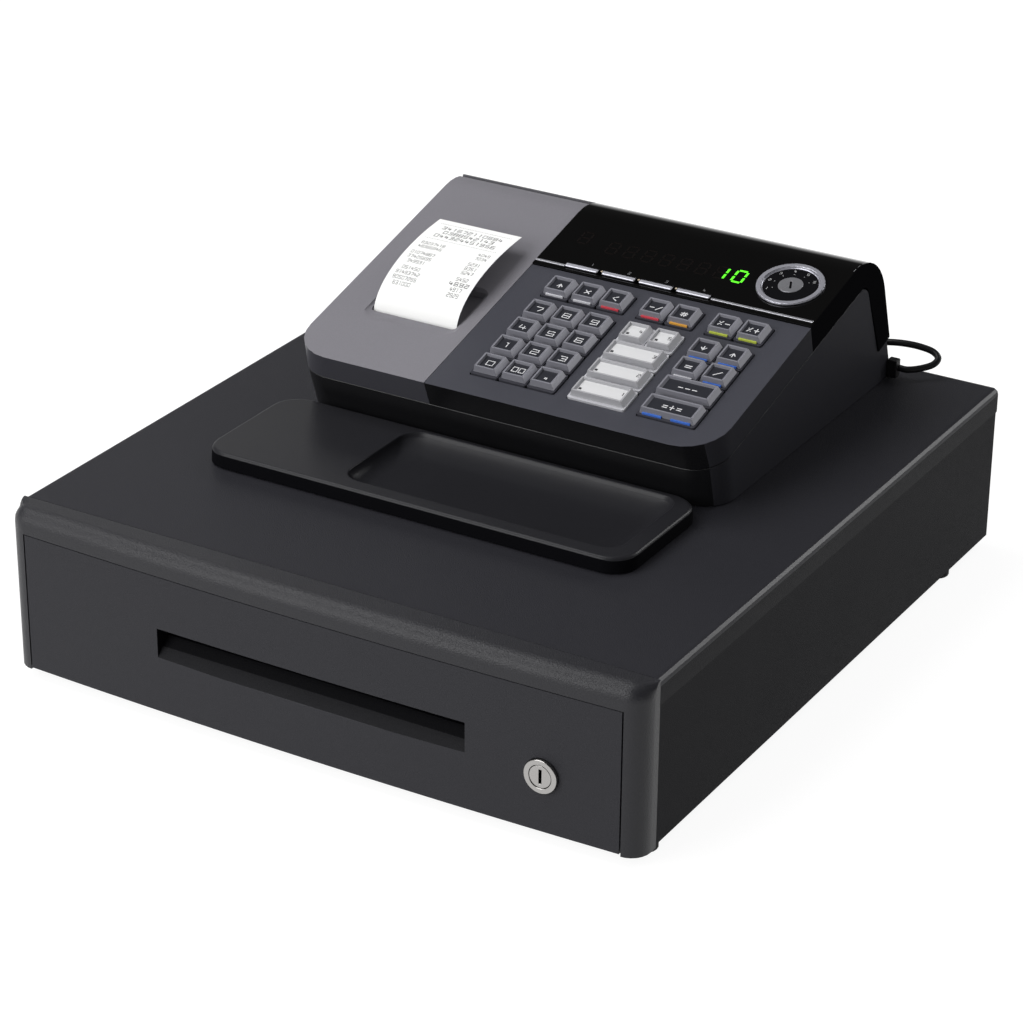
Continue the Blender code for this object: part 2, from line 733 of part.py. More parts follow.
def build_lock(finish):
    front = front_line(LOCK_X) - LOCK_FLANGE_PROUD
    shoulder = front + LOCK_FLANGE_THICK
    rear = front + LOCK_FLANGE_THICK + LOCK_TUBE_LENGTH
    centre = (LOCK_X, LOCK_Z)
    barrel = rod_y("lock_barrel", LOCK_FLANGE_RADIUS, centre, front, shoulder)
    barrel = join(barrel, rod_y("tube", LOCK_TUBE_RADIUS, centre, front + GAP, rear))
    bore = rod_y("bore", LOCK_PLUG_RADIUS + GAP, centre, front - OVERRUN, rear + OVERRUN)
    finished(cut(barrel, bore), finish)

    plug = rod_y("lock_cylinder", LOCK_PLUG_RADIUS, centre, front + GAP, rear + CAM_THICK * 2)
    cam_outline = rounded_rectangle(LOCK_X - CAM_WIDTH / 2, LOCK_X + CAM_WIDTH / 2,
                                    LOCK_Z - CAM_WIDTH / 2, LOCK_Z + CAM_LENGTH, CAM_WIDTH / 4, 2)
    cam = prism_y("cam", cam_outline, rear + CAM_THICK / 2, rear + CAM_THICK * 3 / 2)
    keyhole = box("keyhole", (LOCK_X - KEYHOLE_WIDTH / 2, front - OVERRUN, LOCK_Z - KEYHOLE_HEIGHT / 2),
                  (LOCK_X + KEYHOLE_WIDTH / 2, front + KEYHOLE_DEPTH, LOCK_Z + KEYHOLE_HEIGHT / 2))
    plug = cut(join(plug, cam), keyhole)
    at_origin(plug, Vector((LOCK_X, front, LOCK_Z)))
    finished(plug, finish)


# Head shells

def head_plan(left, right, inset):
    """Tapered block with the head's rounded front corners; a side that isn't the head's own stays square."""
    rings = []
    levels = (-PLAN_REACH_SHARE, BAND_HEIGHT * PLAN_REACH_SHARE), (1, -BAND_HEIGHT), (1, -BAND_HEIGHT * 6)
    for share, n in levels:
        front = BAND_DRAFT * share + inset
        radius = CORNER_TOP_RADIUS + (CORNER_SEAM_RADIUS - CORNER_TOP_RADIUS) * share - inset
        rear = CREST_LENGTH + BAND_HEIGHT * 2
        outline = rounded_outline([
            ((left, front), radius if left <= inset - HALF_HEAD else 0),
            ((right, front), radius if right >= HALF_HEAD - inset else 0),
            ((right, rear), 0),
            ((left, rear), 0),
        ])
        rings.append([on_deck(point.x, point.y, n) for point in outline])
    return loft("plan", rings)


def crest_corner(rise):
    return deck_side(CREST_LENGTH, rise)


def rear_direction():
    return Vector((math.sin(REAR_LEAN), -math.cos(REAR_LEAN)))


def fin_direction():
    return Vector((math.sin(FIN_LEAN), -math.cos(FIN_LEAN)))


def fin_apex():
    return deck_side(FIN_LENGTH, -BAND_HEIGHT)


def hood_tail_corners(rise, clearance):
    """Outer and inner end of the hood's lower rear edge, moved up by a clearance."""
    corner = crest_corner(rise)
    drop = (corner.y - CABINET_HEIGHT - HOOD_TAIL_HEIGHT - clearance) / math.cos(REAR_LEAN)
    outer = corner + rear_direction() * drop
    square = Vector((-math.cos(REAR_LEAN), -math.sin(REAR_LEAN)))
    inner = meeting_point(outer, square, fin_apex(), fin_direction())
    return outer, inner


def shell_side(rise):
    """Side outline of the upper shell: deck, crest, rear, and back along the seam."""
    outer, inner = hood_tail_corners(rise, GAP)
    clear = Vector((math.cos(FIN_LEAN), math.sin(FIN_LEAN))) * GAP
    apex = meeting_point(inner + clear, fin_direction(), deck_side(0, -BAND_HEIGHT + GAP),
                         Vector((math.cos(DECK_TILT), math.sin(DECK_TILT))))
    deck_part = [(deck_side(-OVERRUN, rise), 0)]
    crest_part = corner_arc(deck_side(-OVERRUN, rise), crest_corner(rise), outer, CREST_RADIUS, CREST_STEPS)
    tail_part = [(outer, 0), (inner + clear, 0), (apex, FIN_RADIUS + GAP),
                 (deck_side(-OVERRUN, -BAND_HEIGHT + GAP), 0)]
    return rounded_outline(deck_part + [(point, 0) for point in crest_part] + tail_part)


def shell_hollow_side(rise):
    """Side outline of the space inside the upper shell, open below and behind the fin."""
    outer, inner = hood_tail_corners(rise, -OVERRUN * 4)
    inward = Vector((-math.cos(REAR_LEAN), -math.sin(REAR_LEAN))) * HEAD_WALL
    corner = meeting_point(outer + inward, rear_direction(), deck_side(0, rise - HEAD_WALL),
                           Vector((math.cos(DECK_TILT), math.sin(DECK_TILT))))
    front = deck_side(-OVERRUN * 2, rise - HEAD_WALL)
    crest = corner_arc(front, corner, outer + inward, CREST_RADIUS - HEAD_WALL, CREST_STEPS)
    inside = deck_side(FIN_LENGTH / 2, -BAND_HEIGHT * 3)
    low_front = deck_side(-OVERRUN * 2, -BAND_HEIGHT * 3)
    return [front] + crest + [outer + inward, inner - inward, inside, low_front]


def shell_piece(name, rise, left, right, hollow_left, hollow_right):
    """Part of the upper shell between two planes across X, and the limits of the space inside it."""
    piece = prism_x(name, shell_side(rise), left - OVERRUN, right + OVERRUN)
    keep(piece, head_plan(left, right, 0))
    hollow = prism_x("hollow", shell_hollow_side(rise), hollow_left - OVERRUN, hollow_right + OVERRUN)
    keep(hollow, head_plan(hollow_left, hollow_right, HEAD_WALL))
    return cut(piece, hollow)


def hinge_place():
    """Axis of the cover's hinge, just under the crest."""
    arc_start = corner_arc(deck_side(0, 0), crest_corner(0), hood_tail_corners(0, 0)[0],
                           CREST_RADIUS, CREST_STEPS)[0]
    normal = Vector((-math.sin(DECK_TILT), math.cos(DECK_TILT)))
    centre = arc_start - normal * CREST_RADIUS
    turn = HINGE_TURN - DECK_TILT
    radial = Vector((math.sin(turn), math.cos(turn)))
    return centre + radial * (CREST_RADIUS - HINGE_DEPTH), radial


def before_hinge(reach):
    """Side outline of all that lies in front of the cover's hinge and a reach behind it."""
    hinge, radial = hinge_place()
    start = hinge + Vector((radial.y, -radial.x)) * reach
    low = start - radial * BAND_HEIGHT - Vector((0, BAND_HEIGHT * 3))
    return [start + radial * BAND_HEIGHT * 2, start - radial * BAND_HEIGHT, low,
            deck_side(0, -BAND_HEIGHT * 6), deck_side(0, BAND_HEIGHT * 2)]


def slab(name, x_low, x_high, v_low, v_high):
    """Tall block over a stretch of the deck, for splitting the shell."""
    outline = rounded_rectangle(x_low, x_high, v_low, v_high, 0)
    return deck_prism(name, outline, -BAND_HEIGHT * 5, BAND_HEIGHT * 2)


def key_blocks():
    """Deck openings of the keyboard: left, right, front and rear limits of each group of keys."""
    half = KEY_PITCH / 2

    def block(first_x, columns, first_v, rows):
        return (first_x - half, first_x + (columns - 1) * KEY_PITCH + half,
                first_v - half, first_v + (rows - 1) * KEY_PITCH + half)

    return [
        block(DIGIT_X, 3, ROW_V, 4),
        block(DIGIT_X, 3, TOP_ROW_V, 1),
        block(MIDDLE_X, 2, ROW_V, 4),
        block(MIDDLE_X, 2, TOP_ROW_V, 1),
        block(RIGHT_X, 2, ROW_V, 4),
        block(RIGHT_X, 2, TOP_ROW_V, 1),
    ]


def build_keyboard_case(finish):
    case = shell_piece("keyboard_case", 0, COVER_EDGE_X, HALF_HEAD,
                       COVER_EDGE_X + HEAD_WALL, HALF_HEAD - HEAD_WALL)
    keep(case, slab("front_half", COVER_EDGE_X - OVERRUN, HALF_HEAD + OVERRUN, -BAND_HEIGHT, HOOD_START))
    slack = WELL_GAP - (KEY_PITCH - KEY_FLANGE) / 2
    wells = []
    for left, right, front, rear in key_blocks():
        outline = rounded_rectangle(left - slack, right + slack, front - slack, rear + slack, WELL_RADIUS, 2)
        wells.append(deck_prism("well", outline, -HEAD_WALL - OVERRUN, OVERRUN))
    posts = []
    strips = ((DIGIT_X + KEY_PITCH * 2 + MIDDLE_X) / 2, (MIDDLE_X + KEY_PITCH + RIGHT_X) / 2)
    for x in strips:
        for v in (POST_LOW_V, POST_HIGH_V):
            outline = [point + Vector((x, v)) for point in circle(POST_RADIUS, PIN_SIDES)]
            posts.append(deck_prism("post", outline, board_top() + GAP, -HEAD_WALL / 2))
    return finished(join(cut(case, *wells), *posts), finish)


def board_top():
    return STEM_BOTTOM - KEY_TRAVEL - GAP


def build_main_board(finish):
    blocks = key_blocks()
    left = min(block[0] for block in blocks) - BOARD_MARGIN
    right = max(block[1] for block in blocks) + BOARD_MARGIN
    front = min(block[2] for block in blocks) - BOARD_MARGIN
    rear = max(block[3] for block in blocks)
    board = deck_prism("main_board", rounded_rectangle(left, right, front, rear, 0),
                       board_top() - BOARD_THICK, board_top())
    return finished(board, finish)


def build_display_hood(finish):
    """Gloss window with the rear cover, which runs on behind the printer cover."""
    hood = prism_x("display_hood", shell_side(HOOD_RISE), -HALF_HEAD - OVERRUN, HALF_HEAD + OVERRUN)
    keep(hood, head_plan(-HALF_HEAD, HALF_HEAD, 0))
    outer_x = HALF_HEAD + OVERRUN
    keep(hood, slab("rear_half", -outer_x, outer_x, HOOD_START + GAP, CREST_LENGTH * 2))
    hollow = prism_x("hollow", shell_hollow_side(HOOD_RISE), -outer_x, outer_x)
    keep(hollow, head_plan(HEAD_WALL - HALF_HEAD, HALF_HEAD - HEAD_WALL, HEAD_WALL))
    keep(hollow, slab("inner_half", -outer_x, outer_x, HOOD_START + GAP + HEAD_WALL, CREST_LENGTH * 2))
    side_wall = prism_x("side_wall", before_hinge(HINGE_RADIUS + HINGE_GAP + HEAD_WALL),
                        COVER_EDGE_X - OVERRUN, COVER_EDGE_X + HEAD_WALL)
    cover_space = prism_x("cover_space", before_hinge(HINGE_RADIUS + HINGE_GAP), -outer_x, COVER_EDGE_X)
    cut(hood, cut(hollow, side_wall), cover_space)
    dial_places = [(DIAL_RADIUS, HOOD_RISE - HEAD_WALL / 2, HOOD_RISE + DIAL_PROUD),
                   (MODE_COLLAR, HOOD_RISE - MODE_DEPTH, HOOD_RISE - HEAD_WALL / 2)]
    centre = Vector((DIAL_X, DIAL_V))
    rings = [deck_prism("ring", [point + centre for point in circle(radius)], low, high)
             for radius, low, high in dial_places]
    well = deck_prism("well", [point + centre for point in circle(DIAL_INNER)],
                      HOOD_RISE, HOOD_RISE + DIAL_PROUD + OVERRUN)
    bore = deck_prism("bore", [point + centre for point in circle(MODE_RADIUS + MODE_GAP)],
                      HOOD_RISE - MODE_DEPTH - OVERRUN, HOOD_RISE + OVERRUN)
    menu_left = MENU_FIRST_X - MENU_LENGTH / 2 - RUN_GAP
    menu_right = MENU_FIRST_X + MENU_PITCH * (MENU_COUNT - 1) + MENU_LENGTH / 2 + RUN_GAP
    menu_half = MENU_WIDTH / 2 + RUN_GAP
    menu_slot = deck_prism("menu_slot", rounded_rectangle(
        menu_left, menu_right, MENU_V - menu_half, MENU_V + menu_half, 0),
        HOOD_RISE - HEAD_WALL - OVERRUN, HOOD_RISE + OVERRUN)
    return finished(cut(join(hood, *rings), well, bore, menu_slot), finish)


def build_menu_keys(finish):
    for index in range(MENU_COUNT):
        half_length, half_width = MENU_LENGTH / 2, MENU_WIDTH / 2
        outline = rounded_rectangle(-half_length, half_length, -half_width, half_width, 0)
        bar = prism_z(f"menu_key_{index + 1}", outline, MENU_FOOT, MENU_TOP)
        bar.parent = bpy.data.objects["deck_frame"]
        bar.location = (MENU_FIRST_X + MENU_PITCH * index, MENU_V, 0)
        finished(bar, finish)


def build_mode_cylinder(finish):
    cylinder = prism_z("mode_cylinder", circle(MODE_RADIUS), HOOD_RISE - MODE_DEPTH, HOOD_RISE + MODE_PROUD)
    top = HOOD_RISE + MODE_PROUD
    slot = box("slot", (-KEYSLOT_LENGTH / 2, -KEYSLOT_WIDTH / 2, top - KEYSLOT_DEPTH),
               (KEYSLOT_LENGTH / 2, KEYSLOT_WIDTH / 2, top + OVERRUN))
    cylinder = cut(cylinder, slot)
    cylinder.parent = bpy.data.objects["deck_frame"]
    cylinder.location = (DIAL_X, DIAL_V, 0)
    return finished(cylinder, finish)


def seam_ring(inset):
    radius = CORNER_SEAM_RADIUS - inset
    outline = rounded_outline([
        ((-HALF_HEAD + inset, BAND_DRAFT + inset), radius),
        ((HALF_HEAD - inset, BAND_DRAFT + inset), radius),
        ((HALF_HEAD - inset, FIN_LENGTH - inset), 0),
        ((-HALF_HEAD + inset, FIN_LENGTH - inset), 0),
    ])
    return [on_deck(point.x, point.y, -BAND_HEIGHT) for point in outline]


def floor_ring(inset, z):
    """Foot of the tub at height z; its rear follows the fin's lean."""
    fin = fin_apex()
    rear = meeting_point(fin, fin_direction(), Vector((0, z)), Vector((1, 0))).x
    half = HALF_HEAD - BASE_FOOT_INSET - inset
    front = FRONT_Y + BASE_FOOT_SETBACK + inset
    outline = rounded_outline([
        ((-half, front), BASE_FOOT_RADIUS - inset),
        ((half, front), BASE_FOOT_RADIUS - inset),
        ((half, rear - inset), 0),
        ((-half, rear - inset), 0),
    ])
    return [Vector((point.x, point.y, z)) for point in outline]


def build_head_base(finish):
    tub = loft("head_base", [floor_ring(0, HEAD_FLOOR_Z), seam_ring(0)])
    fin = fin_apex()

    def on_fin(first, second):
        return (first.yz - fin).length < GAP and (second.yz - fin).length < GAP

    round_long_edge(tub, on_fin, FIN_RADIUS, ARC_STEPS)
    outer, inner = hood_tail_corners(HOOD_RISE, 0)
    level = Vector((1, 0))
    foot = meeting_point(outer, rear_direction(), Vector((0, HEAD_FLOOR_Z)), level)
    fin_foot = meeting_point(fin, fin_direction(), Vector((0, HEAD_FLOOR_Z)), level)
    tail_half = HALF_HEAD - TAIL_INSET
    tail_outline = [foot, outer, inner, inner - level * HEAD_WALL / 2, fin_foot - level * HEAD_WALL / 2]
    tub = join(tub, prism_x("tail", tail_outline, -tail_half, tail_half))
    lift = HEAD_FLOOR_Z + HEAD_WALL
    outward = Vector((0, -math.sin(DECK_TILT), math.cos(DECK_TILT))) * OVERRUN
    hollow_top = [point + outward for point in seam_ring(HEAD_WALL)]
    hollow = loft("hollow", [floor_ring(HEAD_WALL, lift), hollow_top])
    square = Vector((-math.cos(REAR_LEAN), -math.sin(REAR_LEAN))) * HEAD_WALL
    down = rear_direction() * HEAD_WALL
    low_outer = meeting_point(foot + square, rear_direction(), Vector((0, lift)), level)
    low_inner = meeting_point(fin, fin_direction(), Vector((0, lift)), level) - level * HEAD_WALL * 2
    tail_hollow_outline = [low_outer, outer + square + down, inner + down - level * HEAD_WALL * 2, low_inner]
    tail_hollow = prism_x("tail_hollow", tail_hollow_outline, HEAD_WALL - tail_half, tail_half - HEAD_WALL)
    return finished(cut(tub, hollow, tail_hollow), finish)


# Keys

def key_mesh(name, columns):
    """Stem, flange and tapered cap of a key that is some columns wide."""
    extra = (columns - 1) * KEY_PITCH

    def ring(width, depth, n):
        outline = rounded_rectangle(-width / 2, width / 2, -depth / 2, depth / 2, KEY_CORNER, 1)
        return [(point.x, point.y, n) for point in outline]

    return loft(name, [
        ring(KEY_STEM, KEY_STEM, STEM_BOTTOM),
        ring(KEY_STEM, KEY_STEM, FLANGE_BOTTOM),
        ring(KEY_FLANGE + extra, KEY_FLANGE, FLANGE_BOTTOM),
        ring(KEY_FLANGE + extra, KEY_FLANGE, FLANGE_TOP),
        ring(KEY_BODY + extra, KEY_BODY, FLANGE_TOP),
        ring(KEY_TOP + extra, KEY_TOP, KEY_HEIGHT - KEY_SHOULDER),
        ring(KEY_TOP + extra - KEY_SHOULDER, KEY_TOP - KEY_SHOULDER, KEY_HEIGHT),
    ])


def key_table():
    """Name, left column's x, columns wide, and v of every key on the deck."""
    rows = [ROW_V + KEY_PITCH * row for row in range(4)]
    digits = (("key_0", "key_00", "key_point"), ("key_1", "key_2", "key_3"),
              ("key_4", "key_5", "key_6"), ("key_7", "key_8", "key_9"))
    table = []
    for row, names in enumerate(digits):
        for column, name in enumerate(names):
            table.append((name, DIGIT_X + KEY_PITCH * column, 1, rows[row]))
    for column, name in enumerate(("key_feed", "key_multiply", "key_clear")):
        table.append((name, DIGIT_X + KEY_PITCH * column, 1, TOP_ROW_V))
    for column, name in enumerate(("key_error", "key_lookup")):
        table.append((name, MIDDLE_X + KEY_PITCH * column, 1, TOP_ROW_V))
    for row in range(3):
        table.append((f"key_department_{row + 1}", MIDDLE_X, 2, rows[row]))
    for column in range(2):
        table.append((f"key_department_{column + 4}", MIDDLE_X + KEY_PITCH * column, 1, rows[3]))
    for column, name in enumerate(("key_percent_minus", "key_percent_plus")):
        table.append((name, RIGHT_X + KEY_PITCH * column, 1, TOP_ROW_V))
    for column, name in enumerate(("key_received", "key_paid_out")):
        table.append((name, RIGHT_X + KEY_PITCH * column, 1, rows[3]))
    for column, name in enumerate(("key_charge", "key_cheque")):
        table.append((name, RIGHT_X + KEY_PITCH * column, 1, rows[2]))
    table.append(("key_subtotal", RIGHT_X, 2, rows[1]))
    table.append(("key_cash", RIGHT_X, 2, rows[0]))
    return table


def build_keys(dark, white):
    for name, x, columns, v in key_table():
        key = key_mesh(name, columns)
        key.parent = bpy.data.objects["deck_frame"]
        key.location = (x + KEY_PITCH * (columns - 1) / 2, v, 0)
        finished(key, white if "department" in name else dark)


# Printer

def dish_tool():
    """Shallow dish round the paper's outlet: a long scoop in front and steep sides."""
    half = CHUTE_WIDTH / 2
    run = EXIT_V - CHUTE_FRONT_V

    def ring(share, n):
        side = half - CHUTE_MARGIN * share
        outline = rounded_rectangle(PAPER_X - side, PAPER_X + side, CHUTE_FRONT_V + run * share,
                                    CHUTE_REAR_V - CHUTE_MARGIN * share,
                                    CHUTE_RADIUS - CHUTE_MARGIN * share)
        return [on_deck(point.x, point.y, n) for point in outline]

    rings = [ring(0, OVERRUN), ring(0, 0)]
    for step in range(1, DISH_STEPS + 1):
        share = step / DISH_STEPS
        rings.append(ring(share, -DISH_DEPTH * share * (2 - share)))
    return loft("dish", rings)


def outlet_tool():
    """Deep space behind the paper, under the dish."""
    side = CHUTE_WIDTH / 2 - OUTLET_MARGIN
    front = EXIT_V - EXIT_GAP
    rear = CHUTE_REAR_V - OUTLET_MARGIN
    outline = rounded_rectangle(PAPER_X - side, PAPER_X + side, front, rear, OUTLET_MARGIN, COARSE_STEPS)
    return deck_prism("outlet", outline, -CHUTE_DEPTH, -DISH_DEPTH / 2)


def build_printer_cover(finish):
    edge = COVER_EDGE_X - COVER_SEAM
    cover = shell_piece("printer_cover", 0, -HALF_HEAD, edge, HEAD_WALL - HALF_HEAD, edge - HEAD_WALL)
    hinge, radial = hinge_place()
    along = Vector((radial.y, -radial.x))
    low = hinge - radial * HEAD_WALL
    limits = [hinge + radial * BAND_HEIGHT, low, low - along * HINGE_RADIUS - Vector((0, BAND_HEIGHT * 3)),
              deck_side(-BAND_HEIGHT * 2, -BAND_HEIGHT * 3), deck_side(-BAND_HEIGHT * 2, BAND_HEIGHT * 3)]
    keep(cover, prism_x("in_front", limits, -HALF_HEAD - OVERRUN, edge + OVERRUN))
    half_wall = HEAD_WALL / 2
    barrel = rod_x("barrel", HINGE_RADIUS, hinge, half_wall - HALF_HEAD, edge - half_wall, SHAFT_SIDES)
    left = PAPER_X - CHUTE_WIDTH / 2 - CHUTE_WALL
    right = PAPER_X + CHUTE_WIDTH / 2 + CHUTE_WALL
    chute_outline = rounded_rectangle(left, right, CHUTE_FRONT_V - CHUTE_WALL, CHUTE_REAR_V, 0)
    chute = deck_prism("chute", chute_outline, -CHUTE_DEPTH - CHUTE_WALL, -HEAD_WALL / 2)
    cover = join(cover, barrel, chute)
    exit_half = PAPER_WIDTH / 2 + RUN_GAP
    exit_slot = deck_prism("exit", rounded_rectangle(
        PAPER_X - exit_half, PAPER_X + exit_half, EXIT_V - EXIT_GAP / 2, EXIT_V + EXIT_GAP / 2, 0),
        -CHUTE_DEPTH - CHUTE_WALL - OVERRUN, OVERRUN)
    cover = cut(cover, dish_tool(), outlet_tool(), exit_slot)
    at_origin(cover, Vector((0, hinge.x, hinge.y)))
    return finished(cover, finish)


def cubic(points, share):
    """Point of a cubic curve with four control points."""
    rest = 1 - share
    weights = (rest ** 3, 3 * rest ** 2 * share, 3 * rest * share ** 2, share ** 3)
    return sum((Vector(point) * weight for point, weight in zip(points, weights)), Vector((0, 0)))


def build_receipt(finish):
    """Printed slip: a thin sheet along a curve that leaves the slot and bends over the cover."""
    middle = [cubic(PAPER_PATH, step / PAPER_STEPS) for step in range(PAPER_STEPS + 1)]
    upper, lower = [], []
    for index, point in enumerate(middle):
        before, after = middle[max(index - 1, 0)], middle[min(index + 1, PAPER_STEPS)]
        run = (after - before).normalized()
        normal = Vector((-run.y, run.x)) * PAPER_THICK / 2
        upper.append(point + normal)
        lower.append(point - normal)
    outline = [deck_side(point.x, point.y) for point in upper + lower[::-1]]
    slip = prism_x("receipt", outline, PAPER_X - PAPER_WIDTH / 2, PAPER_X + PAPER_WIDTH / 2)
    return finished(slip, finish)


def platen_place():
    return deck_side(EXIT_V, -PLATEN_DEPTH)


def roll_place():
    floor = HEAD_FLOOR_Z + HEAD_WALL + GAP
    return Vector((FRONT_Y + ROLL_SETBACK, floor + ROLL_LIFT + ROLL_RADIUS))


def build_printer_frame(finish):
    """Trough for the paper roll, printer block and two cheeks that carry the platen."""
    roll, platen = roll_place(), platen_place()
    floor = HEAD_FLOOR_Z + HEAD_WALL + GAP
    half = PAPER_WIDTH / 2 + CHEEK_MARGIN
    front, rear = FRONT_Y + FRAME_FRONT, FRONT_Y + FRAME_REAR
    frame = box("printer_frame", (PAPER_X - half, roll.x - ROLL_RADIUS, floor),
                (PAPER_X + half, rear, floor + TROUGH_HEIGHT))
    trough = rod_x("trough", ROLL_RADIUS + RUN_GAP, roll, PAPER_X - half - OVERRUN, PAPER_X + half + OVERRUN,
                   ROLL_SIDES)
    frame = cut(frame, trough)
    block_top = platen.y - PLATEN_RADIUS - RUN_GAP
    block = box("block", (PAPER_X - half, front, floor), (PAPER_X + half, front + MECHANISM_DEPTH, block_top))
    frame = join(frame, block)
    cheek_outline = [(front, floor), (rear, floor), (rear, floor + TROUGH_HEIGHT),
                     (roll.x - ROLL_RADIUS, floor + TROUGH_HEIGHT),
                     (platen.x + MECHANISM_DEPTH / 2, platen.y + PLATEN_RADIUS / 2),
                     (front, platen.y + PLATEN_RADIUS / 2)]
    for side in (-1, 1):
        low_x, high_x = sorted((PAPER_X + side * (half - GAP), PAPER_X + side * (half + CHEEK_THICK)))
        frame = join(frame, prism_x("cheek", cheek_outline, low_x, high_x))
    bearing = rod_x("bearing", PLATEN_SHAFT_RADIUS + GAP, platen, PAPER_X - half * 2, PAPER_X + half * 2,
                    SHAFT_SIDES)
    return finished(cut(frame, bearing), finish)


def build_platen(finish):
    platen = platen_place()
    half = PAPER_WIDTH / 2
    roller = rod_x("platen_roller", PLATEN_RADIUS, (0, 0), -half, half, ROLLER_SIDES)
    reach = half + PLATEN_SHAFT_OVER
    shaft = rod_x("shaft", PLATEN_SHAFT_RADIUS, (0, 0), -reach, reach, SHAFT_SIDES)
    roller = join(roller, shaft)
    roller.location = (PAPER_X, platen.x, platen.y)
    return finished(roller, finish)


def build_paper_roll(finish):
    roll = roll_place()
    half = PAPER_WIDTH / 2
    paper = rod_x("paper_roll", ROLL_RADIUS, (0, 0), -half, half, ROLL_SIDES)
    bore = rod_x("bore", ROLL_BORE, (0, 0), -half - OVERRUN, half + OVERRUN, FOOT_SIDES)
    paper = cut(paper, bore)
    paper.location = (PAPER_X, roll.x, roll.y)
    return finished(paper, finish)


# Tray and lead

def build_pen_tray(finish):
    floor = CABINET_HEIGHT + GAP
    top = CABINET_HEIGHT + TRAY_HEIGHT

    def tray_ring(inset, z):
        outline = rounded_rectangle(TRAY_LEFT + inset, TRAY_RIGHT - inset, FRONT_Y + TRAY_FRONT + inset,
                                    FRONT_Y + TRAY_REAR - inset, TRAY_RADIUS)
        return [(point.x, point.y, z) for point in outline]

    def pocket_ring(share, z):
        side = POCKET_SIDE_SLOPE * share
        outline = rounded_rectangle(POCKET_LEFT + side, POCKET_RIGHT - side,
                                    FRONT_Y + POCKET_FRONT + POCKET_FRONT_SLOPE * share,
                                    FRONT_Y + POCKET_REAR - POCKET_REAR_SLOPE * share, POCKET_RADIUS)
        return [(point.x, point.y, z) for point in outline]

    tray = loft("pen_tray", [tray_ring(0, floor), tray_ring(TRAY_DRAFT, top - EDGE_ROUND),
                             tray_ring(TRAY_DRAFT + EDGE_ROUND, top)])
    rings = [pocket_ring(0, top + OVERRUN)]
    for step in range(POCKET_STEPS + 1):
        turn = math.pi / 2 * step / POCKET_STEPS
        drop = (TRAY_HEIGHT - POCKET_FLOOR) * math.sin(turn)
        rings.append(pocket_ring(1 - math.cos(turn), top - drop))
    pocket = loft("pocket", rings)
    return finished(cut(tray, pocket), finish)


def build_plug(finish):
    left = HALF_HEAD - TAIL_INSET + GAP
    front = FRONT_Y + PLUG_SETBACK
    bottom = CABINET_HEIGHT + PLUG_LIFT
    plug = box("cable_plug", (left, front, bottom),
               (left + PLUG_WIDTH, front + PLUG_DEPTH, bottom + PLUG_HEIGHT))
    return finished(plug, finish)


def smooth_route(points, count):
    """Even samples of a smooth curve through the route's points, by centripetal steps."""
    knots = [0.0]
    for first, second in zip(points, points[1:]):
        knots.append(knots[-1] + math.sqrt((second - first).length))
    ends = [points[0] * 2 - points[1]] + points + [points[-1] * 2 - points[-2]]
    end_knots = [-knots[1]] + knots + [knots[-1] * 2 - knots[-2]]
    fine = []
    for index in range(len(points) - 1):
        t0, t1, t2, t3 = end_knots[index:index + 4]
        p0, p1, p2, p3 = ends[index:index + 4]
        for step in range(LEAD_SAMPLES):
            t = t1 + (t2 - t1) * step / LEAD_SAMPLES
            a1 = p0 * ((t1 - t) / (t1 - t0)) + p1 * ((t - t0) / (t1 - t0))
            a2 = p1 * ((t2 - t) / (t2 - t1)) + p2 * ((t - t1) / (t2 - t1))
            a3 = p2 * ((t3 - t) / (t3 - t2)) + p3 * ((t - t2) / (t3 - t2))
            b1 = a1 * ((t2 - t) / (t2 - t0)) + a2 * ((t - t0) / (t2 - t0))
            b2 = a2 * ((t3 - t) / (t3 - t1)) + a3 * ((t - t1) / (t3 - t1))
            fine.append(b1 * ((t2 - t) / (t2 - t1)) + b2 * ((t - t1) / (t2 - t1)))
    fine.append(points[-1])
    lengths = [0.0]
    for first, second in zip(fine, fine[1:]):
        lengths.append(lengths[-1] + (second - first).length)
    samples = []
    place = 0
    for step in range(count):
        goal = lengths[-1] * step / (count - 1)
        while place < len(fine) - 2 and lengths[place + 1] < goal:
            place += 1
        share = (goal - lengths[place]) / (lengths[place + 1] - lengths[place])
        samples.append(fine[place].lerp(fine[place + 1], share))
    print("lead length", round(lengths[-1], 4))
    return samples


def build_lead(finish):
    route = [Vector((x, FRONT_Y + y, z)) for x, y, z in LEAD_ROUTE]
    curve = bpy.data.curves.new("drawer_cable", "CURVE")
    curve.dimensions = "3D"
    curve.bevel_depth = LEAD_DIAMETER / 2
    curve.bevel_resolution = 2
    curve.use_fill_caps = True
    spline = curve.splines.new("POLY")
    samples = smooth_route(route, LEAD_POINTS)
    spline.points.add(len(samples) - 1)
    for point, place in zip(spline.points, samples):
        point.co = (*place, 1.0)
    lead = bpy.data.objects.new("drawer_cable", curve)
    bpy.context.scene.collection.objects.link(lead)
    curve.materials.append(finish)
    return lead


def add_deck_frame():
    frame = bpy.data.objects.new("deck_frame", None)
    bpy.context.scene.collection.objects.link(frame)
    frame.location = (0, DECK_Y, DECK_Z)
    frame.rotation_euler = (DECK_TILT, 0, 0)


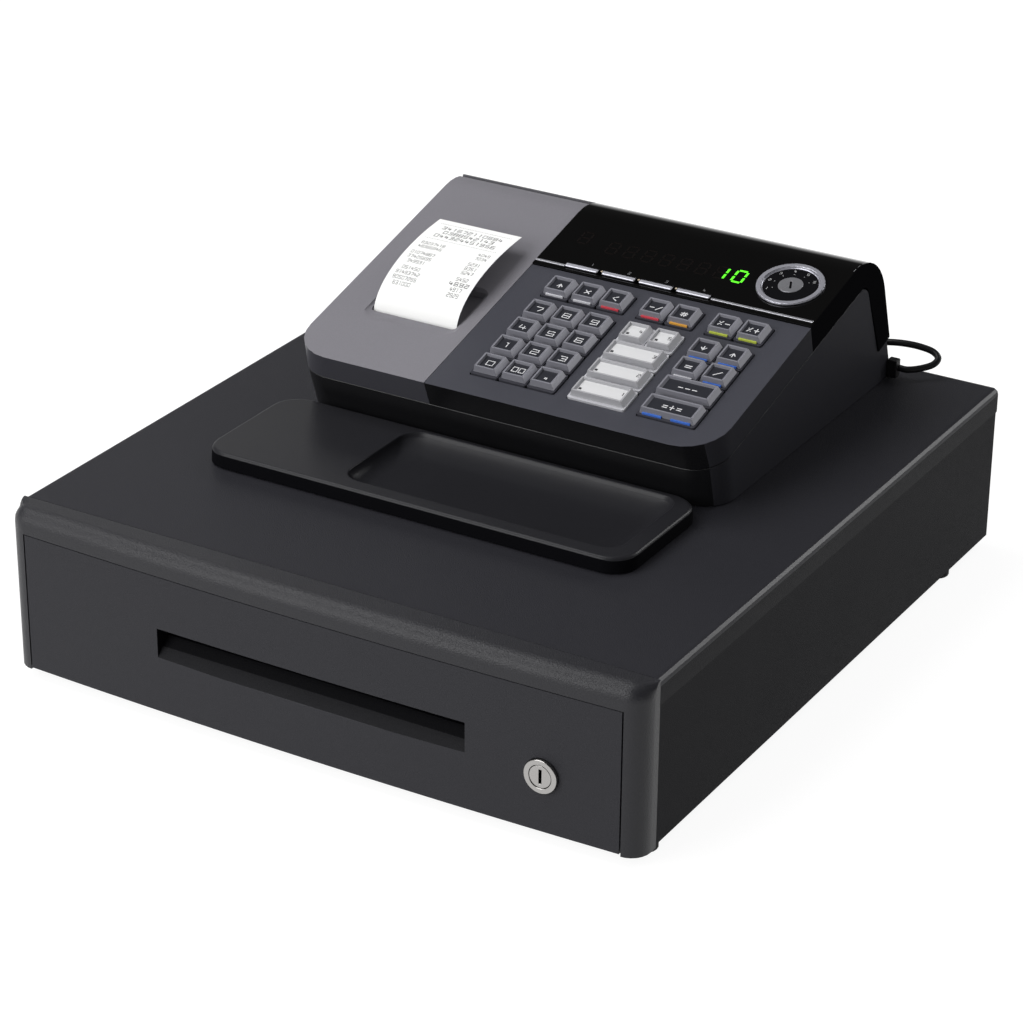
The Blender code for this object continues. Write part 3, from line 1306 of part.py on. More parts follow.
def main():
    for thing in list(bpy.data.objects):
        bpy.data.objects.remove(thing, do_unlink=True)
    add_deck_frame()
    charcoal = material("charcoal", (0.045, 0.045, 0.052), 0.55)
    bezel_grey = material("bezel_grey", (0.050, 0.049, 0.055), 0.60)
    steel = material("zinc_steel", (0.45, 0.46, 0.47), 0.40, 1.0)
    nickel = material("nickel", (0.72, 0.71, 0.68), 0.22, 1.0)
    silver = material("silver_paint", (0.26, 0.25, 0.28), 0.38, 0.35)
    deck_grey = material("deck_grey", (0.070, 0.072, 0.090), 0.55)
    gloss = material("gloss_black", (0.006, 0.006, 0.006), 0.08)
    satin = material("satin_black", (0.012, 0.012, 0.013), 0.35)
    bright = material("bright_silver", (0.70, 0.70, 0.72), 0.20, 1.0)
    clear = material("clear_key", (0.35, 0.35, 0.38), 0.12)
    white = material("white_key", (0.80, 0.80, 0.82), 0.20)
    tray_grey = material("tray_grey", (0.040, 0.040, 0.046), 0.45)
    rubber = material("rubber", (0.010, 0.010, 0.010), 0.80)
    paper = material("paper", (0.85, 0.85, 0.84), 0.70)
    board = material("board_green", (0.02, 0.12, 0.05), 0.50)

    build_base(charcoal)
    build_lid(charcoal)
    build_front_bezel(bezel_grey)
    build_feet(rubber)
    build_latch(steel)
    build_drawer_front(bezel_grey)
    build_drawer_box(tray_grey)
    build_coin_tray(tray_grey)
    build_lock(nickel)
    build_head_base(satin)
    build_keyboard_case(deck_grey)
    build_main_board(board)
    build_display_hood(gloss)
    build_menu_keys(bright)
    build_mode_cylinder(nickel)
    build_keys(clear, white)
    build_printer_cover(silver)
    build_receipt(paper)
    build_printer_frame(satin)
    build_platen(rubber)
    build_paper_roll(paper)
    build_pen_tray(tray_grey)
    build_plug(satin)
    build_lead(satin)


main()
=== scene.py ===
"""Ticket register: the finished look of a till head on a cash drawer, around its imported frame.

Laid out as a Blender add-on. Each operator models one piece or one group of like pieces, in metres.
"""
import math
import random

import bmesh
import bpy
from bpy.props import FloatProperty, FloatVectorProperty, IntProperty, PointerProperty
from mathutils import Matrix, Vector


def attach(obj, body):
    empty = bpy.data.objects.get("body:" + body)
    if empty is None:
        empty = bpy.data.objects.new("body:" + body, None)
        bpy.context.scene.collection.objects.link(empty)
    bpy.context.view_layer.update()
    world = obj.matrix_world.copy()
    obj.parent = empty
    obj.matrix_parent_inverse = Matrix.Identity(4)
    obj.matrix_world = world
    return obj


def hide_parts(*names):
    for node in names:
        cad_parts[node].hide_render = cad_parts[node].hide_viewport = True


bl_info = {
    "name": "Ticket register",
    "version": (1, 0, 0),
    "blender": (4, 5, 0),
    "location": "3D View > Sidebar > Register",
    "description": "Models the finished till head and cash drawer around their packed frame",
    "category": "Object",
}

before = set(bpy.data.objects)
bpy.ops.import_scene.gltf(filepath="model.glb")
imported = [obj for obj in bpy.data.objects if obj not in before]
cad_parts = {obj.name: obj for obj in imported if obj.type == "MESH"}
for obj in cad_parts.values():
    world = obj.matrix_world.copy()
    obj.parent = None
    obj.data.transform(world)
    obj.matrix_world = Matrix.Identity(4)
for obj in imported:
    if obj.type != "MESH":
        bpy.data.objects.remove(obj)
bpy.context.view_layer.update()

# Places that the frame gives
DECK_TILT = math.radians(14.6)
DECK = Matrix.Translation((0, -0.03425, 0.1495)) @ Matrix.Rotation(DECK_TILT, 4, "X")
FRONT_Y = -0.22235
LID_TOP = 0.1069
LID_ROUND = 0.004
FLAT_ANGLE = math.radians(1)
EDGE_ANGLE = math.radians(28)
MERGE = 0.00001
UNMERGED = ("cabinet_base", "front_bezel", "drawer_front", "drawer_latch", "coin_tray", "keyboard_case")
FINE = 0.0001


# Working on pieces

def object_mode():
    if bpy.context.mode != "OBJECT":
        bpy.ops.object.mode_set(mode="OBJECT")


def select_only(*pieces):
    object_mode()
    bpy.ops.object.select_all(action="DESELECT")
    for piece in pieces:
        piece.select_set(True)
    bpy.context.view_layer.objects.active = pieces[0] if pieces else None


def new_piece(name):
    """Name the primitive that was just added."""
    piece = bpy.context.active_object
    piece.name = name
    piece.data.name = name
    return piece


def apply_place(piece):
    select_only(piece)
    bpy.ops.object.transform_apply(location=True, rotation=True, scale=True)


def edit_faces(piece, chosen):
    """Go to edit mode with just the faces that the test picks by middle and normal."""
    select_only(piece)
    bpy.ops.object.mode_set(mode="EDIT")
    bpy.ops.mesh.select_mode(type="FACE")
    bpy.ops.mesh.select_all(action="DESELECT")
    cage = bmesh.from_edit_mesh(piece.data)
    for face in cage.faces:
        face.select_set(chosen(face.calc_center_median(), face.normal))
    bmesh.update_edit_mesh(piece.data)


def edit_edges(piece, chosen):
    """Go to edit mode with just the edges that the test picks by their two ends."""
    select_only(piece)
    bpy.ops.object.mode_set(mode="EDIT")
    bpy.ops.mesh.select_mode(type="EDGE")
    bpy.ops.mesh.select_all(action="DESELECT")
    cage = bmesh.from_edit_mesh(piece.data)
    for edge in cage.edges:
        edge.select_set(chosen(edge.verts[0].co, edge.verts[1].co))
    bmesh.update_edit_mesh(piece.data)


def push_out(distance):
    """Extrude the selected faces along Z."""
    bpy.ops.mesh.extrude_region_move(TRANSFORM_OT_translate={"value": (0, 0, distance)})


def stretch(x, y, centre):
    bpy.ops.transform.resize(value=(x, y, 1), center_override=centre)


def block(name, low, high):
    middle = (Vector(low) + Vector(high)) / 2
    bpy.ops.object.select_all(action="DESELECT")
    bpy.ops.mesh.primitive_cube_add(size=1, location=middle)
    piece = new_piece(name)
    piece.scale = Vector(high) - Vector(low)
    apply_place(piece)
    return piece


def disc(name, radius, low, high, sides=96):
    bpy.ops.object.select_all(action="DESELECT")
    bpy.ops.mesh.primitive_cylinder_add(vertices=sides, radius=radius, depth=high - low,
                                        location=(0, 0, (low + high) / 2))
    piece = new_piece(name)
    apply_place(piece)
    return piece


def from_frame(node, name):
    """Copy of a frame node, its coplanar faces merged where that is sound, ready for its fine edges."""
    piece = bpy.data.objects.new(name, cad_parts[node].data.copy())
    piece.data.name = name
    bpy.context.scene.collection.objects.link(piece)
    piece.data.materials.clear()
    select_only(piece)
    bpy.ops.object.mode_set(mode="EDIT")
    bpy.ops.mesh.customdata_custom_splitnormals_clear()
    bpy.ops.mesh.select_all(action="SELECT")
    bpy.ops.mesh.remove_doubles(threshold=MERGE)
    if node not in UNMERGED:
        bpy.ops.mesh.dissolve_limited(angle_limit=FLAT_ANGLE)
    object_mode()
    return piece


def apply_modifier(piece, kind, **settings):
    select_only(piece)
    step = piece.modifiers.new(kind.title(), kind)
    for key, value in settings.items():
        setattr(step, key, value)
    bpy.ops.object.modifier_apply(modifier=step.name)


def soften(piece, width, segments=3, edge_slot=-1):
    """Round the sharp edges, keep the flat faces flat, and give the rounds their own finish if asked, which
    the pieces here use for painted highlights.
    """
    apply_modifier(piece, "BEVEL", width=width, segments=segments, limit_method="ANGLE",
                   angle_limit=EDGE_ANGLE, material=edge_slot, miter_outer="MITER_ARC")
    select_only(piece)
    bpy.ops.object.shade_smooth()
    apply_modifier(piece, "WEIGHTED_NORMAL", keep_sharp=True, weight=80)


def join_pieces(first, *others):
    if others:
        select_only(first, *others)
        bpy.ops.object.join()
    return first


def paint(piece, index, chosen, over=None):
    """Give the faces that the test picks another finish, or only those that have the finish over."""
    for face in piece.data.polygons:
        if over in (None, face.material_index) and chosen(face.center, face.normal):
            face.material_index = index


def split_across(piece, point, direction):
    """Cut the faces of a piece along a plane, so that both sides can have their own finish."""
    select_only(piece)
    bpy.ops.object.mode_set(mode="EDIT")
    bpy.ops.mesh.select_all(action="SELECT")
    bpy.ops.mesh.bisect(plane_co=point, plane_no=direction)
    object_mode()


def settle(piece, body, finishes, nodes=(), place=None):
    """Fix a finished piece in place with its finishes, body and the nodes that it stands for."""
    if place is not None:
        piece.matrix_world = place @ piece.matrix_world
    apply_place(piece)
    for finish in finishes:
        piece.data.materials.append(finish)
    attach(piece, body)
    if nodes:
        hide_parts(*nodes)
    return piece


def dress(node, name, body, finishes, width, segments=3, edge_slot=-1, paints=(), split=None):
    """Cut, round and paint a copy of a frame node, and settle it in the node's place."""
    piece = from_frame(node, name)
    if split:
        split_across(piece, *split)
    soften(piece, width, segments, edge_slot)
    for index, chosen, over in paints:
        paint(piece, index, chosen, over)
    return settle(piece, body, finishes, [node])


def faces_right(middle, normal):
    return normal.x > 0.7


CREST_START = 0.1835
CREST_RADIUS = 0.038
HOOD_RISE = 0.0010


def bend_over_crest(piece):
    """Bend a flat mesh, drawn along the deck, over the rounded crest of the hood."""
    for vertex in piece.data.vertices:
        past = vertex.co.y - CREST_START
        if past > 0:
            turn = past / CREST_RADIUS
            radius = CREST_RADIUS + vertex.co.z - HOOD_RISE
            vertex.co.y = CREST_START + radius * math.sin(turn)
            vertex.co.z = HOOD_RISE - CREST_RADIUS + radius * math.cos(turn)


def on_deck(point):
    return DECK.inverted() @ Vector(point)


def deck_limits(node):
    """Lowest and highest corner of a frame node along the deck's own directions."""
    points = [on_deck(vertex.co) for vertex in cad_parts[node].data.vertices]
    low = Vector([min(point[axis] for point in points) for axis in range(3)])
    high = Vector([max(point[axis] for point in points) for axis in range(3)])
    return low, high


# Line marks: numerals and signs drawn with straight strokes in a unit cell

GLYPHS = {
    "0": (((0, 0), (1, 0), (1, 1), (0, 1), (0, 0)),),
    "1": (((0.3, 1), (0.6, 1), (0.6, 0)),),
    "2": (((0, 1), (1, 1), (1, 0.5), (0, 0.5), (0, 0), (1, 0)),),
    "3": (((0, 1), (1, 1), (1, 0), (0, 0)), ((0.25, 0.5), (1, 0.5))),
    "4": (((0.2, 1), (0, 0.35), (1, 0.35)), ((0.7, 0.75), (0.7, 0))),
    "5": (((1, 1), (0, 1), (0, 0.5), (1, 0.5), (1, 0), (0, 0)),),
    "6": (((1, 1), (0, 1), (0, 0), (1, 0), (1, 0.5), (0, 0.5)),),
    "7": (((0, 1), (1, 1), (1, 0.65), (0.5, 0)),),
    "8": (((0, 0), (1, 0), (1, 1), (0, 1), (0, 0)), ((0, 0.5), (1, 0.5))),
    "9": (((1, 0.5), (0, 0.5), (0, 1), (1, 1), (1, 0), (0, 0)),),
    ".": (((0.35, 0.05), (0.65, 0.05), (0.65, 0.3), (0.35, 0.3), (0.35, 0.05)),),
    "x": (((0.1, 0.1), (0.9, 0.9)), ((0.1, 0.9), (0.9, 0.1))),
    "+": (((0, 0.5), (1, 0.5)), ((0.5, 0), (0.5, 1))),
    "-": (((0, 0.5), (1, 0.5)),),
    "=": (((0, 0.3), (1, 0.3)), ((0, 0.7), (1, 0.7))),
    "/": (((0, 0), (1, 1)),),
    "%": (((0.1, 0), (0.9, 1)), ((0.1, 0.8), (0.3, 0.8)), ((0.7, 0.2), (0.9, 0.2))),
    "#": (((0.3, 0), (0.4, 1)), ((0.65, 0), (0.75, 1)), ((0, 0.3), (1, 0.3)), ((0, 0.7), (1, 0.7))),
    "^": (((0.1, 0.3), (0.5, 0.9), (0.9, 0.3)), ((0.5, 0.9), (0.5, 0))),
    "v": (((0.1, 0.7), (0.5, 0.1), (0.9, 0.7)), ((0.5, 0.1), (0.5, 1))),
    "<": (((0.8, 1), (0.1, 0.5), (0.8, 0)),),
}


def written(text, width, height, spacing, middle=(0, 0)):
    """Strokes of a short row of glyphs, centred on a point."""
    length = len(text) * width + (len(text) - 1) * spacing
    marks = []
    for index, letter in enumerate(text):
        left = middle[0] - length / 2 + index * (width + spacing)
        for stroke in GLYPHS.get(letter, ()):
            marks.append([(left + x * width, middle[1] + (y - 0.5) * height) for x, y in stroke])
    return marks


def line_marks(name, marks, thickness, height, rise):
    """Flat raised strokes at a height above the XY plane."""
    curve = bpy.data.curves.new(name, "CURVE")
    curve.dimensions = "3D"
    curve.bevel_depth = thickness / 2
    curve.bevel_resolution = 1
    curve.use_fill_caps = True
    for mark in marks:
        closed = mark[0] == mark[-1] and len(mark) > 2
        points = mark[:-1] if closed else mark
        spline = curve.splines.new("POLY")
        spline.points.add(len(points) - 1)
        for point, place in zip(spline.points, points):
            point.co = (place[0], place[1], 0, 1)
        spline.use_cyclic_u = closed
    piece = bpy.data.objects.new(name, curve)
    bpy.context.scene.collection.objects.link(piece)
    select_only(piece)
    bpy.ops.object.convert(target="MESH")
    piece = bpy.context.active_object
    piece.scale = (1, 1, rise / thickness)
    piece.location = (0, 0, height)
    apply_place(piece)
    return piece


# Shader groups that several finishes share

def group_tree(name, inputs, outputs):
    tree = bpy.data.node_groups.new(name, "ShaderNodeTree")
    for label, kind, value in inputs:
        socket = tree.interface.new_socket(label, in_out="INPUT", socket_type=kind)
        socket.default_value = value
    for label, kind in outputs:
        tree.interface.new_socket(label, in_out="OUTPUT", socket_type=kind)
    return tree, tree.nodes.new("NodeGroupInput"), tree.nodes.new("NodeGroupOutput")


def add_math(tree, operation, first, second):
    node = tree.nodes.new("ShaderNodeMath")
    node.operation = operation
    for socket, value in zip(node.inputs, (first, second)):
        if isinstance(value, (int, float)):
            socket.default_value = value
        else:
            tree.links.new(value, socket)
    return node.outputs[0]


def moulded_grain_group():
    """Height of a spark-eroded mould surface: fine noise over small rounded pebbles."""
    tree, source, result = group_tree(
        "Moulded grain",
        (("Scale", "NodeSocketFloat", 1500.0), ("Pebbles", "NodeSocketFloat", 0.5)),
        (("Height", "NodeSocketFloat"), ("Speck", "NodeSocketFloat")))
    place = tree.nodes.new("ShaderNodeTexCoord")
    fine = tree.nodes.new("ShaderNodeTexNoise")
    fine.inputs["Detail"].default_value = 3.0
    pebbles = tree.nodes.new("ShaderNodeTexVoronoi")
    pebbles.feature = "SMOOTH_F1"
    for texture in (fine, pebbles):
        tree.links.new(place.outputs["Object"], texture.inputs["Vector"])
        tree.links.new(source.outputs["Scale"], texture.inputs["Scale"])
    weighted = add_math(tree, "MULTIPLY", pebbles.outputs["Distance"], source.outputs["Pebbles"])
    height = add_math(tree, "SUBTRACT", fine.outputs["Fac"], weighted)
    tree.links.new(height, result.inputs["Height"])
    tree.links.new(fine.outputs["Fac"], result.inputs["Speck"])
    return tree


def uneven_tone_group():
    """A colour that drifts a little over the surface, with specks, and the gloss that goes with it."""
    tree, source, result = group_tree(
        "Uneven tone",
        (("Colour", "NodeSocketColor", (0.5, 0.5, 0.5, 1)), ("Drift", "NodeSocketFloat", 0.1),
         ("Drift scale", "NodeSocketFloat", 12.0), ("Specks", "NodeSocketFloat", 0.1),
         ("Speck scale", "NodeSocketFloat", 1800.0), ("Roughness", "NodeSocketFloat", 0.5)),
        (("Colour", "NodeSocketColor"), ("Roughness", "NodeSocketFloat")))
    place = tree.nodes.new("ShaderNodeTexCoord")
    drift = tree.nodes.new("ShaderNodeTexNoise")
    drift.inputs["Detail"].default_value = 4.0
    specks = tree.nodes.new("ShaderNodeTexNoise")
    specks.inputs["Detail"].default_value = 1.0
    for texture, scale in ((drift, "Drift scale"), (specks, "Speck scale")):
        tree.links.new(place.outputs["Object"], texture.inputs["Vector"])
        tree.links.new(source.outputs[scale], texture.inputs["Scale"])
    swings = []
    for texture, amount in ((drift, "Drift"), (specks, "Specks")):
        centred = add_math(tree, "SUBTRACT", texture.outputs["Fac"], 0.5)
        swings.append(add_math(tree, "MULTIPLY", centred, source.outputs[amount]))
    slow, fast = swings
    share = add_math(tree, "ADD", add_math(tree, "ADD", slow, fast), 1.0)
    tone = tree.nodes.new("ShaderNodeVectorMath")
    tone.operation = "SCALE"
    tree.links.new(source.outputs["Colour"], tone.inputs[0])
    tree.links.new(share, tone.inputs["Scale"])
    tree.links.new(tone.outputs["Vector"], result.inputs["Colour"])
    tree.links.new(add_math(tree, "ADD", source.outputs["Roughness"], slow), result.inputs["Roughness"])
    return tree


GROUPS = {}
FINISHES = {}


def shared_group(name, build):
    if name not in GROUPS:
        GROUPS[name] = build()
    return GROUPS[name]


def finish(name, colour, roughness, metallic=0.0, grain=0.0, grain_scale=1500.0, pebbles=0.5, drift=0.08,
           specks=0.1, speck_scale=1800.0, coat=0.0, alpha=1.0, glow=0.0, specular=0.2):
    """A procedural finish: uneven tone, mould grain and, if asked, a clear coat, see-through or glow."""
    if name in FINISHES:
        return FINISHES[name]
    made = bpy.data.materials.new(name)
    made.use_nodes = True
    tree = made.node_tree
    shader = tree.nodes["Principled BSDF"]
    tone = tree.nodes.new("ShaderNodeGroup")
    tone.node_tree = shared_group("tone", uneven_tone_group)
    tone.inputs["Colour"].default_value = (*colour, 1)
    tone.inputs["Drift"].default_value = drift
    tone.inputs["Specks"].default_value = specks
    tone.inputs["Speck scale"].default_value = speck_scale
    tone.inputs["Roughness"].default_value = roughness
    tree.links.new(tone.outputs["Colour"], shader.inputs["Base Color"])
    tree.links.new(tone.outputs["Roughness"], shader.inputs["Roughness"])
    shader.inputs["Metallic"].default_value = metallic
    shader.inputs["Coat Weight"].default_value = coat
    shader.inputs["Coat Roughness"].default_value = 0.06
    shader.inputs["Specular IOR Level"].default_value = specular
    if alpha < 1:
        shader.inputs["Alpha"].default_value = alpha
    if glow:
        shader.inputs["Emission Color"].default_value = (*colour, 1)
        shader.inputs["Emission Strength"].default_value = glow
    if grain:
        surface = tree.nodes.new("ShaderNodeGroup")
        surface.node_tree = shared_group("grain", moulded_grain_group)
        surface.inputs["Scale"].default_value = grain_scale
        surface.inputs["Pebbles"].default_value = pebbles
        bump = tree.nodes.new("ShaderNodeBump")
        bump.inputs["Strength"].default_value = grain
        bump.inputs["Distance"].default_value = 1 / grain_scale
        tree.links.new(surface.outputs["Height"], bump.inputs["Height"])
        tree.links.new(bump.outputs["Normal"], shader.inputs["Normal"])
    FINISHES[name] = made
    return made


# Sizes and colours that a user would change

def colour_property(name, description, default):
    return FloatVectorProperty(name=name, description=description, default=default, subtype="COLOR", size=3,
                               min=0, max=1)


def length_property(name, description, default):
    return FloatProperty(name=name, description=description, default=default, unit="LENGTH", precision=5)


class RegisterStage(bpy.types.PropertyGroup):
    key_power: FloatProperty(name="Key light", description="Power of the large lamp at the front left",
                             default=56.0, unit="POWER")
    top_power: FloatProperty(name="Top light", description="Power of the lamp at the upper left",
                             default=33.0, unit="POWER")
    rim_power: FloatProperty(name="Rim light", description="Power of the lamp at the back right",
                             default=14.0, unit="POWER")
    side_power: FloatProperty(name="Side light", description="Power of the lamp at the back left",
                              default=2.5, unit="POWER")
    ambient: FloatProperty(name="Ambient", description="Strength of the even room light", default=0.33)
    floor_colour: FloatProperty(name="Floor", description="Grey of the floor that the object stands on",
                                default=0.20)
    lens: FloatProperty(name="Lens", description="Focal length in millimetres", default=117.898)


class RegisterCabinet(bpy.types.PropertyGroup):
    edge_round: length_property("Edge round", "Rounding of the cabinet's moulded edges", 0.0006)
    lid_colour: colour_property("Lid colour", "Matte charcoal of the lid", (0.024, 0.024, 0.029))
    # Painted shade: the body's charcoal is a darker copy of the lid's, for its upright sides.
    body_shade_colour: colour_property("Body colour", "Darker charcoal of the body and the lid's skirt",
                                 (0.009, 0.009, 0.011))
    bezel_colour: colour_property("Bezel colour", "Charcoal of the bezel and the drawer front",
                                  (0.030, 0.030, 0.035))
    # Painted highlight: this lighter tone on the drawer front's rounded edges stands for light caught there.
    edge_highlight_colour: colour_property("Edge colour", "Lighter tone of rubbed edges", (0.085, 0.085, 0.094))


class RegisterHead(bpy.types.PropertyGroup):
    edge_round: length_property("Edge round", "Rounding of the head's moulded edges", 0.0005)
    silver_colour: colour_property("Cover colour", "Metallic grey of the printer cover",
                                   (0.212, 0.206, 0.228))
    # Painted shade: the cover's upright faces get this darker copy of its silver.
    cover_shade_colour: colour_property("Cover band", "Darker grey of the cover's upright faces",
                                 (0.062, 0.062, 0.074))
    panel_colour: colour_property("Panel colour", "Blue grey of the keyboard panel", (0.050, 0.051, 0.064))
    black_colour: colour_property("Black", "Satin black of the tub", (0.008, 0.008, 0.009))
    strip_height: length_property("Strip height", "How far the trim strip stands proud", 0.0004)
    window_arc: FloatProperty(name="Window arc", description="Turn of the crest at which the window ends",
                              default=0.487, unit="ROTATION")


class RegisterKeys(bpy.types.PropertyGroup):
    rim: length_property("Rim", "Wall thickness of the clear cap around its label", 0.0010)
    front_margin: length_property("Front margin", "Extra width of the flange in front of the cap", 0.0009)
    label_draft: length_property("Label draft", "How far the walls round the label slope in", 0.0004)
    bar_width: length_property("Bar width", "Width of the colour bar in front of a cap", 0.0010)
    bar_height: length_property("Bar height", "How far the colour bar stands over the flange", 0.0011)
    label_depth: length_property("Label depth", "How far the label lies under the cap's top", 0.0016)
    digit_width: length_property("Digit width", "Width of a numeral on a key", 0.0044)
    digit_height: length_property("Digit height", "Height of a numeral on a key", 0.0040)
    digit_line: length_property("Digit line", "Stroke of a numeral on a key", 0.0008)
    edge_round: length_property("Edge round", "Rounding of a cap's edges", 0.0003)
    insert_colour: colour_property("Insert", "Dark label under the clear caps", (0.026, 0.027, 0.034))
    # Painted reflection: the clear walls are an opaque grey that stands for the light they reflect.
    wall_reflection_colour: colour_property("Clear wall", "Tone of the clear cap's walls", (0.22, 0.22, 0.25))


class RegisterDisplay(bpy.types.PropertyGroup):
    digit_pitch: length_property("Digit pitch", "Distance between the display's digits", 0.0122)
    digit_height: length_property("Digit height", "Height of a display digit", 0.0128)
    digit_width: length_property("Digit width", "Width of a display digit", 0.0080)
    segment: length_property("Segment", "Width of a display segment", 0.0015)
    lit_colour: colour_property("Lit", "Green of the lit segments", (0.10, 0.95, 0.02))
    digits: IntProperty(name="Digits", description="Digits of the display", default=8)


# Stage

CAMERA_PLACE = (0.9039, -1.5324, 0.9356)
CAMERA_YAW = math.radians(30.703)
CAMERA_PITCH = math.radians(26.109)
CAMERA_ROLL = math.radians(0.461)
SENSOR_WIDTH = 36
LAMP_TARGET = Vector((0, 0, 0.1))
LAMPS = (
    ("key_lamp", (-1.2, -2.4, 1.4), 2.0, "key_power"),
    ("top_lamp", (-1.15, -0.25, 2.35), 1.7, "top_power"),
    ("rim_lamp", (1.10, 2.00, 1.30), 0.9, "rim_power"),
    ("side_lamp", (-1.95, 1.90, 1.20), 1.0, "side_power"),
)
FADE_HEIGHT = 0.28
FADE_LOW = 0.7
FADE_HIGH = 0.04
FLOOR_SIZE = 14
FLOOR_WHITE = 1.10


def look_along(place, yaw, pitch, roll):
    """Camera matrix from the direction that it looks in."""
    ahead = Vector((-math.sin(yaw) * math.cos(pitch), math.cos(yaw) * math.cos(pitch), -math.sin(pitch)))
    right = Vector((math.cos(yaw), math.sin(yaw), 0))
    up = right.cross(ahead)
    turned_right = right * math.cos(roll) + up * math.sin(roll)
    turned_up = up * math.cos(roll) - right * math.sin(roll)
    turn = Matrix((turned_right, turned_up, -ahead)).transposed().to_4x4()
    return Matrix.Translation(place) @ turn


def seen_ray(tree):
    """One where the ray comes from the camera, a mirror or a clear piece: these show the background."""
    path = tree.nodes.new("ShaderNodeLightPath")
    direct = add_math(tree, "MAXIMUM", path.outputs["Is Camera Ray"], path.outputs["Is Glossy Ray"])
    return add_math(tree, "MAXIMUM", direct, path.outputs["Is Transmission Ray"])


class REGISTER_OT_stage(bpy.types.Operator):
    """Camera, lamps, world and floor"""
    bl_idname = "register.stage"
    bl_label = "Stage"

    def execute(self, context):
        look = context.scene.register_stage
        self.add_camera(context, look)
        for name, place, size, power in LAMPS:
            self.add_lamp(name, place, size, getattr(look, power))
        self.light_room(context, look)
        self.lay_floor(look)
        context.scene.view_settings.view_transform = "Standard"
        return {"FINISHED"}

    def add_camera(self, context, look):
        bpy.ops.object.camera_add()
        camera = context.active_object
        camera.name = "camera"
        camera.matrix_world = look_along(CAMERA_PLACE, CAMERA_YAW, CAMERA_PITCH, CAMERA_ROLL)
        camera.data.lens = look.lens
        camera.data.sensor_width = SENSOR_WIDTH
        context.scene.camera = camera

    def add_lamp(self, name, place, size, power):
        bpy.ops.object.light_add(type="AREA", location=place)
        lamp = bpy.context.active_object
        lamp.name = name
        lamp.data.size = size
        lamp.data.energy = power
        lamp.rotation_euler = (LAMP_TARGET - Vector(place)).to_track_quat("-Z", "Y").to_euler()

    def light_room(self, context, look):
        """Even light, and a background that is white low down and dark above, as in a studio."""
        world = bpy.data.worlds.new("room")
        context.scene.world = world
        world.use_nodes = True
        tree = world.node_tree
        even = tree.nodes["Background"]
        even.inputs["Color"].default_value = (1, 1, 1, 1)
        even.inputs["Strength"].default_value = look.ambient
        place = tree.nodes.new("ShaderNodeTexCoord")
        split = tree.nodes.new("ShaderNodeSeparateXYZ")
        tree.links.new(place.outputs["Generated"], split.inputs[0])
        fade = tree.nodes.new("ShaderNodeMapRange")
        fade.interpolation_type = "SMOOTHSTEP"
        fade.inputs["From Min"].default_value = 0.0
        fade.inputs["From Max"].default_value = FADE_HEIGHT
        fade.inputs["To Min"].default_value = FADE_LOW
        fade.inputs["To Max"].default_value = FADE_HIGH
        tree.links.new(split.outputs["Z"], fade.inputs["Value"])
        backdrop = tree.nodes.new("ShaderNodeBackground")
        tree.links.new(fade.outputs["Result"], backdrop.inputs["Color"])
        mix = tree.nodes.new("ShaderNodeMixShader")
        tree.links.new(seen_ray(tree), mix.inputs["Fac"])
        tree.links.new(even.outputs[0], mix.inputs[1])
        tree.links.new(backdrop.outputs[0], mix.inputs[2])
        tree.links.new(mix.outputs[0], tree.nodes["World Output"].inputs["Surface"])

    def lay_floor(self, look):
        bpy.ops.mesh.primitive_plane_add(size=FLOOR_SIZE)
        floor = new_piece("studio_floor")
        made = bpy.data.materials.new("studio_white")
        made.use_nodes = True
        tree = made.node_tree
        shader = tree.nodes["Principled BSDF"]
        shader.inputs["Base Color"].default_value = (*[look.floor_colour] * 3, 1)
        shader.inputs["Roughness"].default_value = 1.0
        shader.inputs["Specular IOR Level"].default_value = 0.0
        shader.inputs["Emission Color"].default_value = (1, 1, 1, 1)
        glow = add_math(tree, "MULTIPLY", seen_ray(tree), FLOOR_WHITE - look.floor_colour)
        tree.links.new(glow, shader.inputs["Emission Strength"])
        floor.data.materials.append(made)


# Lead between the head and the drawer

PLUG_ROUND = 0.0007
LEAD_DIAMETER = 0.0042
LEAD_POINTS = 96
LEAD_SAMPLES = 12
LEAD_ROUTE = (
    (0.1463, 0.4278, 0.1140),
    (0.1515, 0.4280, 0.1139),
    (0.1590, 0.4335, 0.1146),
    (0.1645, 0.4390, 0.1166),
    (0.1652, 0.4430, 0.1190),
    (0.1610, 0.4455, 0.1212),
    (0.1530, 0.4450, 0.1230),
    (0.1420, 0.4425, 0.1240),
    (0.1300, 0.4400, 0.1230),
    (0.1200, 0.4385, 0.1202),
    (0.1135, 0.4380, 0.1165),
    (0.1120, 0.4378, 0.1130),
    (0.1120, 0.4378, 0.1102),
)


